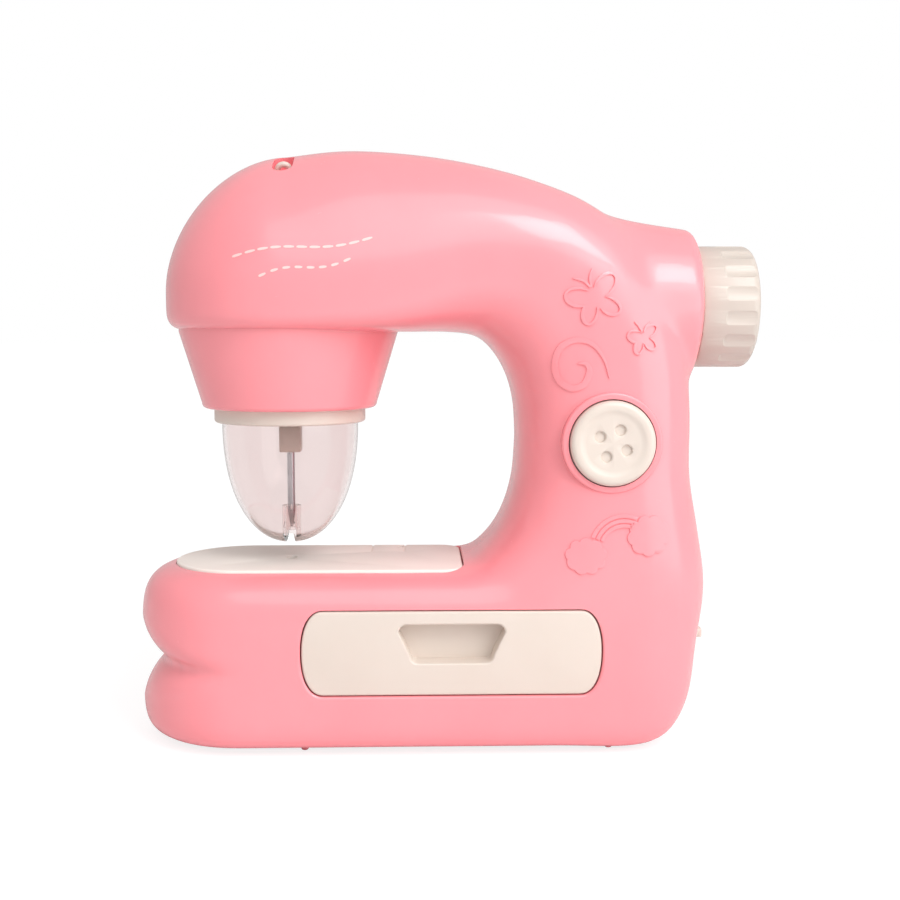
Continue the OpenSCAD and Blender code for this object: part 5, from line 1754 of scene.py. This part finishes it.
@dataclass
class PowerSwitch(Workshop):
    """The small ribbed slide at the edge of the base."""

    ribs: int = 3
    rib_half: float = 0.4
    rib_depth: float = 0.5

    def build(self) -> None:
        """Builds and dresses the slide."""
        low, high = [Vector(c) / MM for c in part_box("power_switch")]
        piece = self.block("slide_thumb", tuple(low), tuple(high))
        self.soften(piece, 0.5)
        for k in range(self.ribs):
            y = low.y + (high.y - low.y) * (k + 1) / (self.ribs + 1)
            self.join(piece, Join.CUT, self.block(
                "rib", (high.x - self.rib_depth, y - self.rib_half, low.z - 1),
                (high.x + 1, y + self.rib_half, high.z + 1)))
        self.dress(piece, "ivory_plastic", "power_knob", ["power_switch"])


@dataclass
class InnerWorks(Workshop):
    """The carried-over nodes inside and behind, each with its own finish."""

    finishes: Tuple[Tuple[str, str], ...] = (
        ("lamp", "lamp_plastic"), ("main_shaft", "bright_steel"), ("left_bush", "bush_brass"),
        ("right_bush", "bush_brass"), ("drive_gear", "white_plastic"),
        ("crank_disc", "white_plastic"), ("motor", "bright_steel"), ("motor_pinion", "bush_brass"),
        ("needle_bar", "bright_steel"), ("circuit_board", "board_green"),
        ("push_switch", "black_plastic"), ("speaker", "black_plastic"),
        ("switch_block", "black_plastic"), ("battery_cells", "cell_wrap"),
        ("battery_contacts", "bright_steel"), ("battery_door", "pink_body"),
        ("door_screw", "bright_steel"), ("case_screws", "bright_steel"))

    def build(self) -> None:
        """Gives every carried-over node its finish."""
        for node, slot in self.finishes:
            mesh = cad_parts[node].data
            mesh.materials.clear()
            mesh.materials.append(self.dye(slot))
            LOG.info("%s: %s", node, slot)


def grey(value: float) -> Tuple[float, ...]:
    """A neutral linear colour."""
    return (value, value, value, 1.0)


@dataclass
class Studio(Workshop):
    """Pale floor, soft light and the camera at the photograph's angle."""

    lens: float = 48.255
    eye: Point = (-10.698, -460.772, 153.066)
    yaw: float = 1.6235
    pitch: float = 5.6025
    roll: float = 0.0353
    sky: float = 0.50
    floor_size: float = 30.0
    floor_z: float = -0.0002
    glow: float = 0.82
    sun: float = 1.05
    sun_spread: float = 60.0
    sun_tilt: Flat = (40.0, 14.0)
    aim: Point = (0.0, 0.0, 0.12)
    boxes: Tuple[Tuple[str, Point, Flat, float], ...] = (
        ("key_box", (0.52, -0.80, 1.00), (0.46, 0.56), 5.2),
        ("right_soft", (0.85, -0.75, 0.25), (0.9, 0.9), 4.6),
        ("left_fill", (-0.8, -1.1, 0.4), (0.9, 0.9), 0.5))

    @staticmethod
    def hang(name: str, data: Any, matrix: Matrix) -> Thing:
        """Puts a camera or a light into the scene.

        Args:
            name: its name.
            data: the camera or light.
            matrix: its place.

        Returns:
            Its object.
        """
        thing = bpy.data.objects.new(name, data)
        bpy.context.collection.objects.link(thing)
        thing.matrix_world = matrix
        return thing

    def camera(self) -> None:
        """Sets up the camera."""
        yaw, pitch, roll = (math.radians(a) for a in (self.yaw, self.pitch, self.roll))
        level = Vector((math.sin(yaw), math.cos(yaw), 0.0))
        right, rise = Vector((math.cos(yaw), -math.sin(yaw), 0.0)), Vector((0.0, 0.0, 1.0))
        look = level * math.cos(pitch) - rise * math.sin(pitch)
        up = rise * math.cos(pitch) + level * math.sin(pitch)
        side = right * math.cos(roll) + up * math.sin(roll)
        top = up * math.cos(roll) - right * math.sin(roll)
        data = bpy.data.cameras.new("camera")
        data.sensor_fit, data.sensor_width, data.lens = "HORIZONTAL", 36.0, self.lens
        data.clip_start, data.clip_end = 0.01, 60.0
        turn = Matrix((side, top, -look)).transposed().to_4x4()
        bpy.context.scene.camera = self.hang(
            "camera", data, Matrix.Translation(Vector(self.eye) * MM) @ turn)

    def floor(self) -> None:
        """Lays the pale floor, which is lifted to near white where it is looked at."""
        self.bare()
        bpy.ops.mesh.primitive_plane_add(size=self.floor_size, location=(0.0, 0.0, self.floor_z))
        plane = bpy.context.object
        plane.name = "studio_floor"
        material, pot = Pot.fresh("floor_paper")
        tone = pot.blend(pot.noise(pot.place(), 300.0, 4.0), grey(0.84), grey(0.86))
        paper = pot.node("ShaderNodeBsdfDiffuse", {}, {"Color": tone})
        faint = pot.node("ShaderNodeBsdfDiffuse", {}, {"Color": grey(0.28)})
        white = pot.node("ShaderNodeEmission", {}, {"Color": grey(1.0), "Strength": self.glow})
        lifted = pot.node("ShaderNodeAddShader", {}, {0: faint, 1: white})
        seen, through = (pot.node("ShaderNodeLightPath", output=name)
                         for name in ("Is Camera Ray", "Is Transmission Ray"))
        share = (seen + through).between(0.0, 1.0)
        pot.close(pot.node("ShaderNodeMixShader", {}, {0: share, 1: paper, 2: lifted}))
        plane.data.materials.append(material)

    def world(self) -> None:
        """Lights the room evenly, with white behind for the camera and for reflections."""
        world = bpy.data.worlds.new("studio")
        world.use_nodes = True
        pot = Pot(world.node_tree)
        seen, glossy, through = (
            pot.node("ShaderNodeLightPath", output=name)
            for name in ("Is Camera Ray", "Is Glossy Ray", "Is Transmission Ray"))
        share = (seen + glossy * 0.2 + through).between(0.0, 1.0)
        soft, white = (
            pot.node("ShaderNodeBackground", {}, {"Color": colour, "Strength": strength})
            for colour, strength in (((1.0, 0.985, 0.97, 1.0), self.sky), (grey(1.0), 1.0)))
        mixed = pot.node("ShaderNodeMixShader", {}, {0: share, 1: soft, 2: white})
        pot.node("ShaderNodeOutputWorld", {}, {"Surface": mixed})
        bpy.context.scene.world = world

    def lights(self) -> None:
        """Hangs the broad light overhead and the softboxes."""
        data = bpy.data.lights.new("top_light", "SUN")
        data.energy, data.angle = self.sun, math.radians(self.sun_spread)
        tip, lean = (math.radians(a) for a in self.sun_tilt)
        self.hang("top_light", data,
                  Matrix.Rotation(tip, 4, "X") @ Matrix.Rotation(lean, 4, "Y"))
        for name, place, (width, tall), watts in self.boxes:
            data = bpy.data.lights.new(name, "AREA")
            data.shape, data.size, data.size_y, data.energy = "RECTANGLE", width, tall, watts
            turn = (Vector(self.aim) - Vector(place)).to_track_quat("-Z", "Y")
            self.hang(name, data, Matrix.Translation(place) @ turn.to_matrix().to_4x4())

    def build(self) -> None:
        """Builds the studio."""
        self.camera()
        self.floor()
        self.world()
        self.lights()
        bpy.context.scene.view_settings.view_transform = "Standard"


def main() -> None:
    """Builds every sub-assembly in order."""
    logging.basicConfig(level=logging.INFO, format="%(message)s")
    Studio().build()
    shells = BodyShells(BodyForm())
    Ornaments(shells.build()).build()
    for part in (NeedleHead(), Bed(), DrawerUnit(shells), StartButton(), Handwheel(),
                 PowerSwitch(), InnerWorks()):
        part.build()
    Workshop.bare()


if __name__ == "__main__":
    main()
